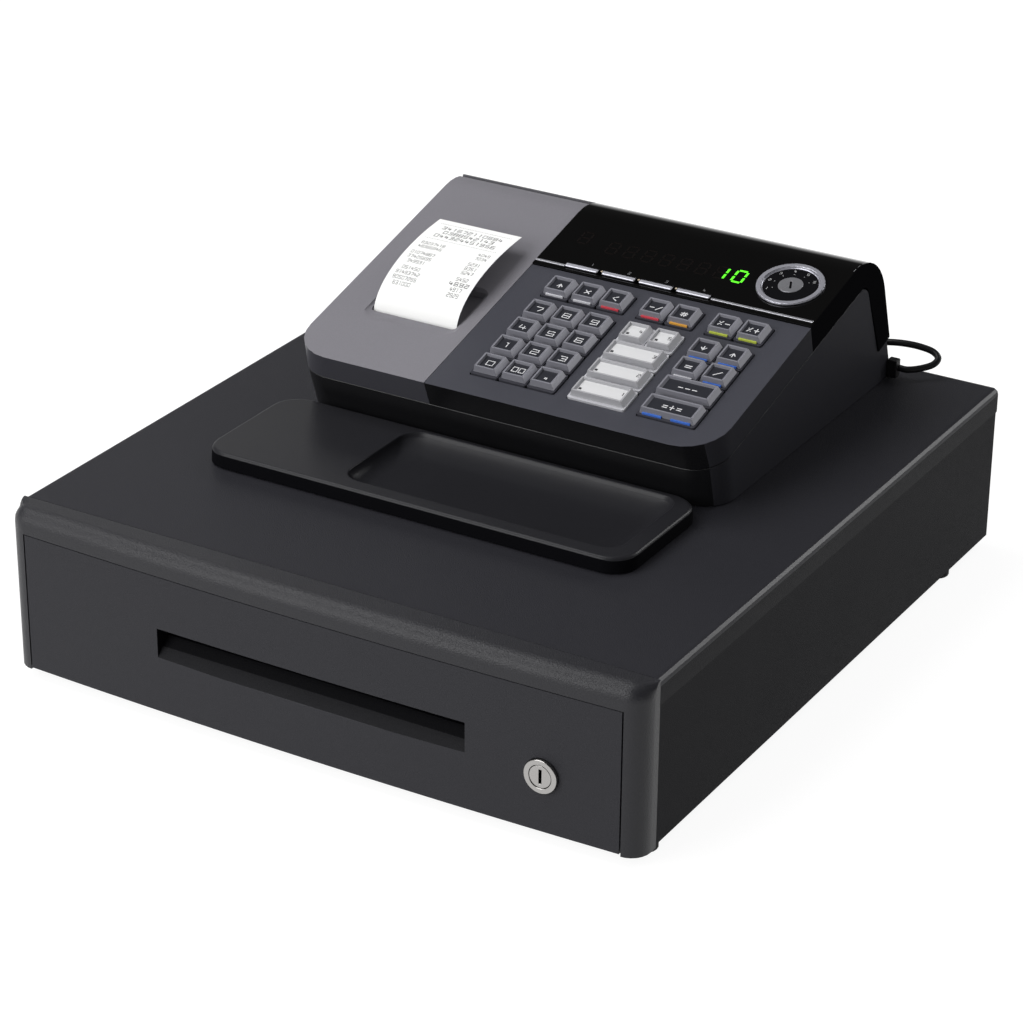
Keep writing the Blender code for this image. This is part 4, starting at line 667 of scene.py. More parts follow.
def smooth_route(points, count):
    """Even samples of a smooth curve through the route's points, by centripetal steps."""
    knots = [0.0]
    for first, second in zip(points, points[1:]):
        knots.append(knots[-1] + math.sqrt((second - first).length))
    ends = [points[0] * 2 - points[1]] + points + [points[-1] * 2 - points[-2]]
    end_knots = [-knots[1]] + knots + [knots[-1] * 2 - knots[-2]]
    fine = []
    for index in range(len(points) - 1):
        t0, t1, t2, t3 = end_knots[index:index + 4]
        p0, p1, p2, p3 = ends[index:index + 4]
        for step in range(LEAD_SAMPLES):
            t = t1 + (t2 - t1) * step / LEAD_SAMPLES
            a1 = p0.lerp(p1, (t - t0) / (t1 - t0))
            a2 = p1.lerp(p2, (t - t1) / (t2 - t1))
            a3 = p2.lerp(p3, (t - t2) / (t3 - t2))
            b1 = a1.lerp(a2, (t - t0) / (t2 - t0))
            b2 = a2.lerp(a3, (t - t1) / (t3 - t1))
            fine.append(b1.lerp(b2, (t - t1) / (t2 - t1)))
    fine.append(points[-1])
    lengths = [0.0]
    for first, second in zip(fine, fine[1:]):
        lengths.append(lengths[-1] + (second - first).length)
    samples, place = [], 0
    for step in range(count):
        goal = lengths[-1] * step / (count - 1)
        while place < len(fine) - 2 and lengths[place + 1] < goal:
            place += 1
        share = (goal - lengths[place]) / (lengths[place + 1] - lengths[place])
        samples.append(fine[place].lerp(fine[place + 1], share))
    return samples


class REGISTER_OT_lead(bpy.types.Operator):
    """Short lead that goes from the head back into the cabinet, with its plug"""
    bl_idname = "register.lead"
    bl_label = "Lead and plug"

    def execute(self, context):
        sheath = finish("lead_sheath", (0.012, 0.012, 0.013), 0.38, drift=0.05, specks=0.2)
        plug_black = finish("plug_black", (0.011, 0.011, 0.012), 0.45, grain=0.2)
        plug = dress("cable_plug", "lead_plug", "cabinet", [plug_black], PLUG_ROUND)
        route = [Vector((x, FRONT_Y + y, z)) for x, y, z in LEAD_ROUTE]
        curve = bpy.data.curves.new("head_lead", "CURVE")
        curve.dimensions = "3D"
        curve.bevel_depth = LEAD_DIAMETER / 2
        curve.bevel_resolution = 5
        curve.use_fill_caps = True
        spline = curve.splines.new("POLY")
        samples = smooth_route(route, LEAD_POINTS)
        spline.points.add(len(samples) - 1)
        for point, place in zip(spline.points, samples):
            point.co = (*place, 1)
        spline.use_smooth = True
        lead = bpy.data.objects.new("head_lead", curve)
        context.scene.collection.objects.link(lead)
        curve.materials.append(sheath)
        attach(lead, "cabinet")
        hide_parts("drawer_cable")
        return {"FINISHED"}


# Cabinet

SLOT_HALF = 0.100
SLOT_LOW = 0.0410
SLOT_HIGH = 0.0602
SLOT_EDGE = 0.0006
FRONT_BOW = 0.0043
HALF_WIDTH = 0.205
RAMP_SHADE = 0.0472


class REGISTER_OT_cabinet(bpy.types.Operator):
    """Lid, body, bezel and feet"""
    bl_idname = "register.cabinet"
    bl_label = "Cabinet"

    def execute(self, context):
        look = context.scene.register_cabinet
        moulded = {"grain": 0.35, "grain_scale": 1700, "drift": 0.05, "specks": 0.35, "speck_scale": 1500}
        pebbled = {"grain_scale": 1500, "pebbles": 1.0, "speck_scale": 1100}
        charcoal = finish("matte_charcoal", look.lid_colour, 0.46, specular=0.15, **moulded)
        # Painted highlights: the lighter, glossier edge finishes of lid, body and bezel stand for light
        # caught on their rounds and bevels.
        charcoal_edge = finish("charcoal_edge", (0.048, 0.048, 0.054), 0.34, specks=0.2, specular=0.35)
        # Painted shade: the lid's upright skirt and the body get darker copies of the lid's charcoal.
        skirt = finish("skirt_charcoal", (0.010, 0.010, 0.012), 0.50, specular=0.05, **moulded)
        body = finish("body_charcoal", look.body_shade_colour, 0.55, specular=0.04, **moulded)
        body_edge = finish("body_edge", (0.060, 0.060, 0.064), 0.40, grain=0.2, grain_scale=1700, specks=0.3)
        pebble = finish("pebbled_charcoal", (0.022, 0.022, 0.026), 0.38, grain=0.30, drift=0.05, specks=0.3,
                        specular=0.32, **pebbled)
        pebble_painted_highlight = finish("pebbled_edge", (0.034, 0.034, 0.039), 0.36, grain=0.2, specks=0.2,
                             specular=0.35, **pebbled)
        lid_paints = ((1, self.on_lid_round, None), (2, self.on_skirt, None))
        for node, slot, finishes, paints in (
                ("cabinet_lid", "cabinet_grey", (charcoal, charcoal_edge, skirt), lid_paints),
                ("cabinet_base", "cabinet_grey", (body, body_edge), ()),
                ("front_bezel", "bezel_grey", (pebble, pebble_painted_highlight), ())):
            dress(node, node + "_shell", "cabinet", finishes, look.edge_round, edge_slot=1,
                  paints=paints)
        rubber = finish("foot_rubber", (0.010, 0.010, 0.010), 0.75, grain=0.3, grain_scale=900)
        for corner in ("front_left", "front_right", "rear_left", "rear_right"):
            dress("foot_" + corner, "foot_pad_" + corner, "cabinet", [rubber], look.edge_round)
        return {"FINISHED"}

    # The lid's rounded edge gets the painted highlight finish.
    def on_lid_round(self, middle, normal):
        return 0.45 < normal.z < 0.93 and middle.z > LID_TOP - LID_ROUND

    # The lid's upright faces, which get the darker charcoal as painted shade.
    def on_skirt(self, middle, normal):
        return normal.z < 0.3 and middle.z < LID_TOP - LID_ROUND


class REGISTER_OT_drawer(bpy.types.Operator):
    """Drawer front, drawer box and coin tray"""
    bl_idname = "register.drawer"
    bl_label = "Drawer"

    def execute(self, context):
        look = context.scene.register_cabinet
        front = finish("drawer_charcoal", look.bezel_colour, 0.50, grain=0.4, grain_scale=1500, drift=0.05,
                       specks=0.35, speck_scale=1300)
        # Painted highlight on the drawer front's rounded edges.
        edge = finish("drawer_edge", look.edge_highlight_colour, 0.42, grain=0.3, specks=0.3)
        sheet = finish("drawer_steel", (0.020, 0.020, 0.022), 0.42, grain=0.25, grain_scale=1200)
        tray = finish("coin_tray_black", (0.022, 0.022, 0.024), 0.40, grain=0.3, grain_scale=1300)
        # Painted shade: the note slot's walls and the upper part of its ramp are near black; the ramp's
        # lower part is a darker charcoal.
        slot_shade = finish("slot_dark", (0.005, 0.005, 0.006), 0.6, grain=0.3, grain_scale=1500, specular=0.03)
        ramp = finish("slot_ramp", (0.016, 0.016, 0.018), 0.55, grain=0.4, grain_scale=1500, specular=0.06)
        dress("drawer_front", "drawer_front_shell", "drawer", (front, edge, slot_shade, ramp),
              look.edge_round, 2, 1, paints=((2, self.in_slot, 0), (3, self.on_ramp, 2)),
              split=((0, 0, RAMP_SHADE), (0, 0, 1)))
        for node, made in (("drawer_box", sheet), ("coin_tray", tray)):
            dress(node, node + "_shell", "drawer", [made], look.edge_round / 2, 2)
        zinc = finish("zinc_plate", (0.45, 0.46, 0.47), 0.35, metallic=1.0, specks=0.2)
        dress("drawer_latch", "latch_hook", "latch", [zinc], look.edge_round / 2, 2)
        return {"FINISHED"}

    def in_slot(self, middle, normal):
        """The walls of the note slot, which lie behind the bowed front's surface, painted near black as
        painted shade.
        """
        inside = abs(middle.x) <= SLOT_HALF + FINE and SLOT_LOW - FINE < middle.z < SLOT_HIGH + FINE
        share = middle.x / HALF_WIDTH
        return inside and middle.y > FRONT_Y - FRONT_BOW * (1 - share * share) + SLOT_EDGE

    def on_ramp(self, middle, normal):
        return self.in_slot(middle, normal) and normal.z > 0.2 and middle.z < RAMP_SHADE


LOCK_ROUND = 0.0005
LOCK_X = 0.1465
LOCK_Z = 0.0420
KEYHOLE_HALF_WIDTH = 0.0010
KEYHOLE_HALF_HEIGHT = 0.0038


class REGISTER_OT_lock(bpy.types.Operator):
    """Plated lock barrel with its key plug"""
    bl_idname = "register.lock"
    bl_label = "Lock"

    def execute(self, context):
        nickel = finish("polished_nickel", (0.40, 0.39, 0.38), 0.22, metallic=1.0, specks=0.1, drift=0.1)
        # Painted shade: the keyhole's faces get a near-black finish.
        dark = finish("keyhole_dark", (0.006, 0.006, 0.006), 0.5)
        for node, body, name in (("lock_barrel", "drawer", "lock_flange"),
                                 ("lock_cylinder", "lock", "lock_plug")):
            piece = from_frame(node, name)
            soften(piece, LOCK_ROUND, 3)
            front = min(vertex.co.y for vertex in piece.data.vertices)
            paint(piece, 1, lambda middle, normal: self.in_keyhole(middle) and (
                abs(normal.y) < 0.5 or middle.y > front + KEYHOLE_HALF_WIDTH))
            settle(piece, body, [nickel, dark], [node])
        return {"FINISHED"}

    def in_keyhole(self, middle):
        """True over the keyhole, seen from the front."""
        return abs(middle.x - LOCK_X) < KEYHOLE_HALF_WIDTH and abs(middle.z - LOCK_Z) < KEYHOLE_HALF_HEIGHT


# Head

COVER_EDGE_X = -0.0456
BAND_TOP = -0.0012
BOARD_ROUND = 0.0002


class REGISTER_OT_head(bpy.types.Operator):
    """Tub, keyboard panel, display hood and what is under them"""
    bl_idname = "register.head"
    bl_label = "Head"

    def execute(self, context):
        look = context.scene.register_head
        fine = {"grain": 0.12, "grain_scale": 2500, "drift": 0.05, "specks": 0.3, "speck_scale": 2600}
        panel = finish("panel_grey", look.panel_colour, 0.46, grain=0.2, grain_scale=2200, drift=0.04,
                       specks=0.25, speck_scale=2000)
        # Painted highlights: the lighter edge finishes of panel and tub stand for light caught on their
        # rounded edges.
        panel_edge = finish("panel_edge", (0.10, 0.10, 0.12), 0.35, grain=0.1, specks=0.2)
        band = finish("band_black", (0.008, 0.008, 0.009), 0.26, grain=0.08, grain_scale=1800, specks=0.2,
                      specular=0.25)
        # Painted light: the right-facing sides of band and tub get a lighter, matte copy of the black,
        # standing for how that side is lit.
        painted_flank = finish("flank_grey", (0.034, 0.034, 0.040), 0.55, grain=0.2, grain_scale=1800, specks=0.25,
                       specular=0.02)
        gloss = finish("gloss_black", (0.0025, 0.0024, 0.0024), 0.05, drift=0.02, specks=0.02, specular=0.4)
        # Painted shade: the hood's sides get a copy of the gloss black without its reflection.
        gloss_shaded_side = finish("gloss_black_side", (0.007, 0.007, 0.008), 0.25, drift=0.02, specks=0.05,
                            specular=0)
        rear = finish("rear_grey", (0.105, 0.103, 0.113), 0.42, metallic=0.1, **fine)
        tub = finish("tub_black", look.black_colour, 0.30, grain=0.12, specks=0.3, specular=0.5)
        tub_edge = finish("tub_edge", (0.075, 0.072, 0.074), 0.35, grain=0.1, specks=0.2, specular=0.4)
        resist = finish("solder_resist", (0.02, 0.11, 0.05), 0.35, drift=0.2, specks=0.4, speck_scale=500)

        dress("keyboard_case", "keyboard_panel", "cabinet", [panel, panel_edge, band, painted_flank],
              look.edge_round, 3, 1, paints=((2, self.on_band, None), (3, faces_right, 2)))
        dress("display_hood", "display_shell", "cabinet", [gloss, gloss_shaded_side, rear],
              look.edge_round, paints=((1, self.faces_sideways, None), (2, self.by_cover, None)),
              split=((COVER_EDGE_X, 0, 0), (1, 0, 0)))
        dress("head_base", "head_tub", "cabinet", [tub, tub_edge, painted_flank],
              look.edge_round, 3, 1, paints=((2, faces_right, 0),))
        dress("main_board", "circuit_board", "cabinet", [resist], BOARD_ROUND, 1)
        return {"FINISHED"}

    def on_band(self, middle, normal):
        """The upright faces below the panel's edge."""
        return on_deck(middle).z < BAND_TOP and abs(normal.z) < 0.75

    # The hood's sides, which get the shaded copy of the gloss black.
    def faces_sideways(self, middle, normal):
        return abs(normal.x) > 0.7

    def by_cover(self, middle, normal):
        return middle.x < COVER_EDGE_X


TRIM_V = 0.1309
TRIM_HALF = 0.0008
TRIM_LEFT = -0.0454
TRIM_RIGHT = 0.1403
TRIM_ROUND = 0.0002
BARS_LEFT = -0.0252
BARS_RIGHT = 0.0738
BAR_PITCH = 0.0252
BAR_FIRST_X = -0.0136
BAR_FRONT = 0.0027
BAR_ROUND = 0.0006
BAR_NUMBER_V = 0.1372
BAR_NUMBER_SHIFT = 0.004
BAR_NUMBER = (0.0014, 0.0021, 0.0005)
BAR_NUMBER_STROKE = 0.00034
DOT_V = 0.1330
DOT_RADIUS = 0.0007
WINDOW_EDGE = 0.0005
WINDOW_EDGE_RISE = 0.0003
WINDOW_EDGE_STEPS = 40
PRINT_RISE = 0.00008


class REGISTER_OT_trim(bpy.types.Operator):
    """Silver trim strip and the four menu bars"""
    bl_idname = "register.trim"
    bl_label = "Trim strip and menu bars"

    def execute(self, context):
        look = context.scene.register_head
        silver = finish("stamped_silver", (0.52, 0.52, 0.56), 0.28, metallic=0.7, drift=0.1, specks=0.1)
        low, high = HOOD_RISE - FINE, HOOD_RISE + look.strip_height
        parts = [block("strip", (left, TRIM_V - TRIM_HALF, low), (right, TRIM_V + TRIM_HALF, high))
                 for left, right in ((TRIM_LEFT, BARS_LEFT), (BARS_RIGHT, TRIM_RIGHT))]
        strip = join_pieces(*parts)
        strip.name = strip.data.name = "trim_strip"
        soften(strip, TRIM_ROUND, 2)
        settle(strip, "cabinet", [silver], place=DECK)
        # Painted highlight: a thin grey line along the window's right edge and top stands for light caught
        # on its edge.
        top = CREST_START + look.window_arc * CREST_RADIUS
        up = [(TRIM_RIGHT, TRIM_V + (top - TRIM_V) * step / WINDOW_EDGE_STEPS)
              for step in range(WINDOW_EDGE_STEPS + 1)]
        line = line_marks("window_edge", [up + [(TRIM_LEFT + FINE * 2, top)]], WINDOW_EDGE,
                          HOOD_RISE - FINE * 2, WINDOW_EDGE_RISE)
        bend_over_crest(line)
        edge = finish("window_edge_grey", (0.20, 0.20, 0.21), 0.25, specks=0.05)
        settle(line, "cabinet", [edge], place=DECK)
        bar_finish = finish("menu_silver", (0.56, 0.56, 0.62), 0.30, metallic=0.5, drift=0.1, specks=0.1)
        gloss = finish("menu_black", (0.008, 0.008, 0.009), 0.2, specks=0.05)
        for index in range(4):
            node = f"menu_key_{index + 1}"
            low, high = deck_limits(node)
            back = low.y + BAR_FRONT
            bar = block(f"menu_bar_{index + 1}", low, high)
            split_across(bar, (0, back, 0), (0, 1, 0))
            soften(bar, BAR_ROUND, 3)
            paint(bar, 1, lambda middle, normal: middle.z < HOOD_RISE or middle.y > back)
            settle(bar, "button_" + node, [bar_finish, gloss], [node], place=DECK)
        self.number_bars()
        return {"FINISHED"}

    def number_bars(self):
        """Plain numbers above the bars and a small pale dot at each gap between them."""
        marks = []
        for index in range(4):
            middle = (BAR_FIRST_X + BAR_PITCH * index + BAR_NUMBER_SHIFT, BAR_NUMBER_V)
            marks += written(str(index + 1), *BAR_NUMBER, middle)
        pale = finish("bar_number", (0.20, 0.20, 0.21), 0.5, specks=0.05)
        numbers = line_marks("bar_numbers", marks, BAR_NUMBER_STROKE, HOOD_RISE, PRINT_RISE)
        settle(numbers, "cabinet", [pale], place=DECK)
        dots = []
        for index in range(3):
            dot = disc("dot", DOT_RADIUS, HOOD_RISE - FINE, HOOD_RISE + FINE * 2, 24)
            dot.location = (BAR_FIRST_X + BAR_PITCH * (index + 0.5), DOT_V, 0)
            apply_place(dot)
            dots.append(dot)
        cream = finish("dot_cream", (0.50, 0.42, 0.32), 0.4, specks=0.05)
        joined = join_pieces(*dots)
        joined.name = joined.data.name = "bar_dots"
        settle(joined, "cabinet", [cream], place=DECK)


DIAL_PLACE = (0.1117, 0.1592, 0.0010)
DIAL_RADIUS = 0.0205
DIAL_HEIGHT = 0.0016
DIAL_RING = 0.0033
DIAL_DEPTH = 0.0014
DIAL_ROUND = 0.0006
DIAL_FACE = 0.0165
DIAL_NUMBERS = 6
NUMBER_RADIUS = 0.0141
NUMBER_START = 212
NUMBER_STEP = 36
NUMBER_SIZE = (0.0013, 0.0019, 0.0004)
TICK_RADII = (0.0105, 0.0112)
MARK_STROKE = 0.00032
MARK_HEIGHT = 0.00025
PLUG_RADIUS = 0.0075
PLUG_LOW = -0.0110
PLUG_TOP = 0.0006
PLUG_EDGE = 0.0003
KEY_SLOT_LOW = (-0.0036, -0.0007, -0.0034)
KEY_SLOT_HIGH = (0.0036, 0.0007, 0.0020)
KEY_SLOT_TURN = math.radians(112)


class REGISTER_OT_dial(bpy.types.Operator):
    """Mode dial: silver ring, numbered face and the key cylinder"""
    bl_idname = "register.dial"
    bl_label = "Mode dial"

    def execute(self, context):
        place = DECK @ Matrix.Translation(DIAL_PLACE)
        silver = finish("dial_silver", (0.52, 0.52, 0.58), 0.28, metallic=0.6, drift=0.1, specks=0.1)
        ring = disc("dial_ring", DIAL_RADIUS, FINE, DIAL_HEIGHT)
        edit_faces(ring, lambda middle, normal: normal.z > 0.9)
        bpy.ops.mesh.inset(thickness=DIAL_RING, depth=0)
        push_out(-DIAL_DEPTH)
        object_mode()
        soften(ring, DIAL_ROUND, 4)
        face_black = finish("dial_face", (0.006, 0.006, 0.007), 0.12, specks=0.05)
        paint(ring, 1, lambda middle, normal: middle.xy.length < DIAL_FACE)
        settle(ring, "cabinet", [silver, face_black], place=place)

        marks = []
        for index in range(DIAL_NUMBERS):
            turn = math.radians(NUMBER_START - NUMBER_STEP * index)
            ray = Vector((math.cos(turn), math.sin(turn)))
            marks += written(str(index + 1), *NUMBER_SIZE, tuple(ray * NUMBER_RADIUS))
            marks.append([tuple(ray * radius) for radius in TICK_RADII])
        white = finish("mark_white", (0.55, 0.55, 0.55), 0.5, specks=0.05)
        marking = line_marks("dial_marks", marks, MARK_STROKE, MARK_HEIGHT, PRINT_RISE)
        settle(marking, "cabinet", [white], place=place)

        metal = finish("cylinder_metal", (0.30, 0.30, 0.32), 0.36, metallic=0.5, drift=0.5, specks=0.2)
        # Painted shade: the key slot's inner faces get a near-black finish.
        dark = finish("keyhole_dark", (0.006, 0.006, 0.006), 0.5)
        plug = disc("mode_plug", PLUG_RADIUS, PLUG_LOW, PLUG_TOP)
        slot = block("slot", KEY_SLOT_LOW, KEY_SLOT_HIGH)
        slot.matrix_world = Matrix.Rotation(KEY_SLOT_TURN, 4, "Z")
        apply_place(slot)
        apply_modifier(plug, "BOOLEAN", operation="DIFFERENCE", object=slot, solver="EXACT")
        bpy.data.objects.remove(slot)
        soften(plug, PLUG_EDGE, 3)
        paint(plug, 1, lambda middle, normal: middle.z < -FINE * 2 and middle.xy.length < PLUG_RADIUS * 0.8)
        settle(plug, "mode_switch", [metal, dark], ["mode_cylinder"], place=place)
        return {"FINISHED"}


LAST_DIGIT_X = 0.0793
DIGIT_V = 0.1569
INDICATOR = (-0.0274, 0.1608)
SEGMENT_RISE = 0.00006
SEGMENT_GAP = 0.45


class REGISTER_OT_display(bpy.types.Operator):
    """Seven-segment digits behind the gloss window"""
    bl_idname = "register.display"
    bl_label = "Display"

    def execute(self, context):
        look = context.scene.register_display
        lit = finish("lit_green", look.lit_colour, 0.4, glow=0.9, specks=0, drift=0)
        unlit = finish("unlit_segment", (0.0060, 0.0046, 0.0044), 0.6, specks=0.05, specular=0.02)
        first = LAST_DIGIT_X - look.digit_pitch * (look.digits - 1)
        shown = {look.digits - 2: "bc", look.digits - 1: "abcdef"}
        dark_marks, lit_marks = [], []
        for index in range(look.digits):
            centre = (first + look.digit_pitch * index, DIGIT_V)
            for letter in "abcdefg":
                target = lit_marks if letter in shown.get(index, "") else dark_marks
                target.append(self.segment(look, letter, centre))
        for letter in "abcdefg":
            dark_marks.append(self.segment(look, letter, INDICATOR))
        for name, marks, made in (("display_segments", dark_marks, unlit), ("display_lit", lit_marks, lit)):
            piece = line_marks(name, marks, look.segment, HOOD_RISE, SEGMENT_RISE)
            settle(piece, "cabinet", [made], place=DECK)
        return {"FINISHED"}

    def segment(self, look, letter, centre):
        """Straight stroke of one segment."""
        ends = {"a": ((0, 1), (1, 1)), "b": ((1, 1), (1, 0.5)), "c": ((1, 0.5), (1, 0)),
                "d": ((0, 0), (1, 0)), "e": ((0, 0.5), (0, 0)), "f": ((0, 1), (0, 0.5)),
                "g": ((0, 0.5), (1, 0.5))}[letter]
        width = look.digit_width - look.segment
        height = look.digit_height - look.segment
        start, end = [Vector(((x - 0.5) * width, (y - 0.5) * height)) for x, y in ends]
        gap = (end - start).normalized() * look.segment * SEGMENT_GAP
        start, end = start + gap, end - gap
        return [(centre[0] + point.x, centre[1] + point.y) for point in (start, end)]


# Keys: sizes of the frame's own key solids

KEY_PITCH = 0.0189
FLANGE = 0.0182
FLANGE_CORNER = 0.0014
FLANGE_LOW = -0.0006
FLANGE_TOP = 0.0010
KEY_BODY = 0.0160
KEY_TOP = 0.0136
KEY_HEIGHT = 0.0052
PALE_NUMBER = (0.0035, 0.0012)
PALE_LINES = (-0.0030, -0.0024, -0.0018)
PALE_LINE_HALF = 0.0009
BAR_HALF = 0.0058
BAR_GAP_HALF = 0.0030
LEGENDS = {
    "key_0": "0", "key_00": "00", "key_point": ".", "key_feed": "^", "key_multiply": "x", "key_clear": "<",
    "key_error": "-/", "key_lookup": "#", "key_percent_minus": "%-", "key_percent_plus": "%+",
    "key_received": "v", "key_paid_out": "^", "key_charge": "=", "key_cheque": "/", "key_subtotal": "---",
    "key_cash": "=+=",
}
BARS = {
    "white": ("feed", "multiply", "charge"), "red": ("clear", "error"), "amber": ("lookup",),
    "lime": ("percent_minus", "percent_plus"), "blue": ("received", "paid_out", "cheque", "cash"),
}
BAR_COLOURS = {
    "white": (0.62, 0.62, 0.66), "red": (0.62, 0.065, 0.09), "amber": (0.72, 0.36, 0.06),
    "lime": (0.50, 0.58, 0.08), "blue": (0.06, 0.17, 0.62),
}


def bar_of(node):
    """Name of the colour bar in front of a key, or None."""
    return next((name for name, keys in BARS.items() if node.replace("key_", "") in keys), None)


class REGISTER_OT_keys(bpy.types.Operator):
    """Thirty keys: clear caps over labelled inserts"""
    bl_idname = "register.keys"
    bl_label = "Keys"

    def execute(self, context):
        look = context.scene.register_keys
        # Painted reflection: clear cap walls as an opaque grey.
        walls = finish("cap_wall", look.wall_reflection_colour, 0.10, specks=0.05, coat=0.3)
        # Painted light: the caps' right-facing walls get a lighter copy of the wall finish, as lit from the
        # right.
        side = finish("cap_side", (0.58, 0.58, 0.63), 0.10, specks=0.05, coat=0.3)
        white_lit_side = finish("white_cap_side", (0.62, 0.62, 0.64), 0.12, specks=0.03, coat=0.3)
        # Painted highlights: the bright finish on every rounded cap edge stands for light caught on the
        # clear edges.
        rim = finish("cap_rim", (0.82, 0.82, 0.86), 0.08, specks=0.02, coat=0.5)
        insert = finish("dark_insert", look.insert_colour, 0.30, specks=0.1)
        flange = finish("cap_flange", (0.045, 0.045, 0.055), 0.12, specks=0.05)
        white_walls = finish("white_cap_wall", (0.40, 0.40, 0.42), 0.12, specks=0.03, coat=0.3)
        white_rim = finish("white_rim", (0.78, 0.78, 0.79), 0.08, specks=0.02, coat=0.5)
        white_insert = finish("white_insert", (0.68, 0.68, 0.69), 0.30, specks=0.05)
        white_flange = finish("white_flange", (0.52, 0.52, 0.55), 0.12, specks=0.05)
        legend = finish("legend_white", (0.72, 0.72, 0.74), 0.45, specks=0.02)
        ink = finish("legend_dark", (0.03, 0.03, 0.035), 0.45, specks=0.02)
        bars = {name: finish("bar_" + name, colour, 0.35, specks=0.05)
                for name, colour in BAR_COLOURS.items()}
        templates = {columns: self.cap(look, KEY_PITCH * (columns - 1)) for columns in (1, 2)}
        for node in sorted(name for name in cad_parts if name.startswith("key_")):
            low, high = deck_limits(node)
            columns = 2 if high.x - low.x > KEY_PITCH * 1.5 else 1
            extra = KEY_PITCH * (columns - 1)
            pale = "department" in node
            cap = templates[columns].copy()
            cap.data = templates[columns].data.copy()
            cap.name = cap.data.name = node.replace("key_", "cap_")
            context.scene.collection.objects.link(cap)
            finishes = [white_walls, white_rim, white_insert, white_flange, ink] if pale else \
                [walls, rim, insert, flange, legend]
            finishes += [bars[bar_of(node) or "white"], white_lit_side if pale else side]
            parts = [cap, self.plate(look, extra), self.legend(look, node, extra, pale)]
            parts += self.bars(look, node, extra)
            for part in parts:
                for made in finishes:
                    part.data.materials.append(made)
            join_pieces(*parts)
            place = DECK @ Matrix.Translation(((low.x + high.x) / 2, (low.y + high.y) / 2, 0))
            settle(cap, "button_" + node, [], [node], place=place)
        for template in templates.values():
            bpy.data.objects.remove(template)
        return {"FINISHED"}

    def cap(self, look, extra):
        """Flange and tapered block whose label lies under a rim; extra is the width past one key."""
        piece = block("cap", (-(FLANGE + extra) / 2, -FLANGE / 2, FLANGE_LOW),
                      ((FLANGE + extra) / 2, FLANGE / 2, FLANGE_TOP))
        edit_edges(piece, lambda first, second: abs(first.z - second.z) > FINE)
        bpy.ops.mesh.bevel(offset=FLANGE_CORNER, segments=3, affect="EDGES")
        edit_faces(piece, lambda middle, normal: normal.z > 0.9)
        margin = (FLANGE - KEY_BODY) / 2
        bpy.ops.mesh.inset(thickness=margin, depth=0)
        rear = (0, KEY_BODY / 2, FLANGE_TOP)
        stretch(1, 1 - look.front_margin / KEY_BODY, rear)
        push_out(KEY_HEIGHT - FLANGE_TOP)
        length = KEY_BODY - look.front_margin
        middle = KEY_BODY / 2 - length / 2
        stretch((KEY_TOP + extra) / (KEY_BODY + extra), KEY_TOP / length, (0, middle, KEY_HEIGHT))
        bpy.ops.transform.translate(value=(0, -middle, 0))
        bpy.ops.mesh.inset(thickness=look.rim, depth=0)
        push_out(-look.label_depth)
        share = 1 - look.label_draft * 2 / (KEY_TOP - look.rim * 2)
        stretch(share, share, (0, 0, 0))
        object_mode()
        for face in piece.data.polygons:
            on_top = face.normal.z > 0.9 and abs(face.center.z - FLANGE_TOP) < FINE
            if on_top or face.center.z < FLANGE_TOP - FINE:
                face.material_index = 3
            elif face.normal.z > 0.9 and face.center.z < KEY_HEIGHT - FINE:
                face.material_index = 2
            # Right-facing walls get the lighter, painted-light finish.
            elif face.normal.x > 0.7 and face.center.x > 0:
                face.material_index = 6
        # The rounds get the bright painted-highlight finish.
        apply_modifier(piece, "BEVEL", width=look.edge_round, segments=2, limit_method="ANGLE",
                       angle_limit=EDGE_ANGLE, material=1, miter_outer="MITER_ARC",
                       harden_normals=True)
        return piece

    def plate(self, look, extra):
        """Flat label on the floor of a cap; extra is the width past one key."""
        floor = KEY_HEIGHT - look.label_depth
        half = KEY_TOP / 2 - look.rim - look.label_draft
        plate = block("plate", (-half - extra / 2, -half, floor),
                      (half + extra / 2, half, floor + FINE / 2))
        for face in plate.data.polygons:
            face.material_index = 2
        return plate

    def legend(self, look, node, extra, pale):
        height = KEY_HEIGHT - look.label_depth + FINE
        width, tall = look.digit_width, look.digit_height
        if pale:
            middle = (extra / 2 + PALE_NUMBER[0], PALE_NUMBER[1])
            marks = written(node[-1], width * 0.4, tall * 0.6, width * 0.2, middle)
            left = -middle[0]
            marks += [[(left - PALE_LINE_HALF, step), (left + PALE_LINE_HALF, step)] for step in PALE_LINES]
        else:
            text = LEGENDS.get(node, node[-1])
            marks = written(text, width * (0.72 if len(text) > 1 else 1), tall, width * 0.3)
        piece = line_marks("legend", marks, look.digit_line * (0.7 if pale else 1), height, FINE)
        for face in piece.data.polygons:
            face.material_index = 4
        return piece

    def bars(self, look, node, extra):
        if not bar_of(node):
            return []
        high_y = look.front_margin - KEY_BODY / 2
        half = extra / 2 + BAR_HALF
        pieces = []
        for left, right in [(-half, -BAR_GAP_HALF), (BAR_GAP_HALF, half)] if extra else [(-half, half)]:
            bar = block("bar", (left, high_y - look.bar_width, FLANGE_TOP - FINE),
                        (right, high_y, FLANGE_TOP + look.bar_height))
            for face in bar.data.polygons:
                face.material_index = 5
            pieces.append(bar)
        return pieces


# Printer

PRINTER_ROUND = 0.0004
DECK_FRONT = 0.030
COVER_LEFT = -0.130
PAPER_X = -0.0862
PAPER_WIDTH = 0.058
PAPER_THICK = 0.00012
PAPER_PATH = ((0.0542, -0.0065), (0.0570, 0.0090), (0.0860, 0.0190), (0.1363, 0.0104))
PAPER_STEPS = 48


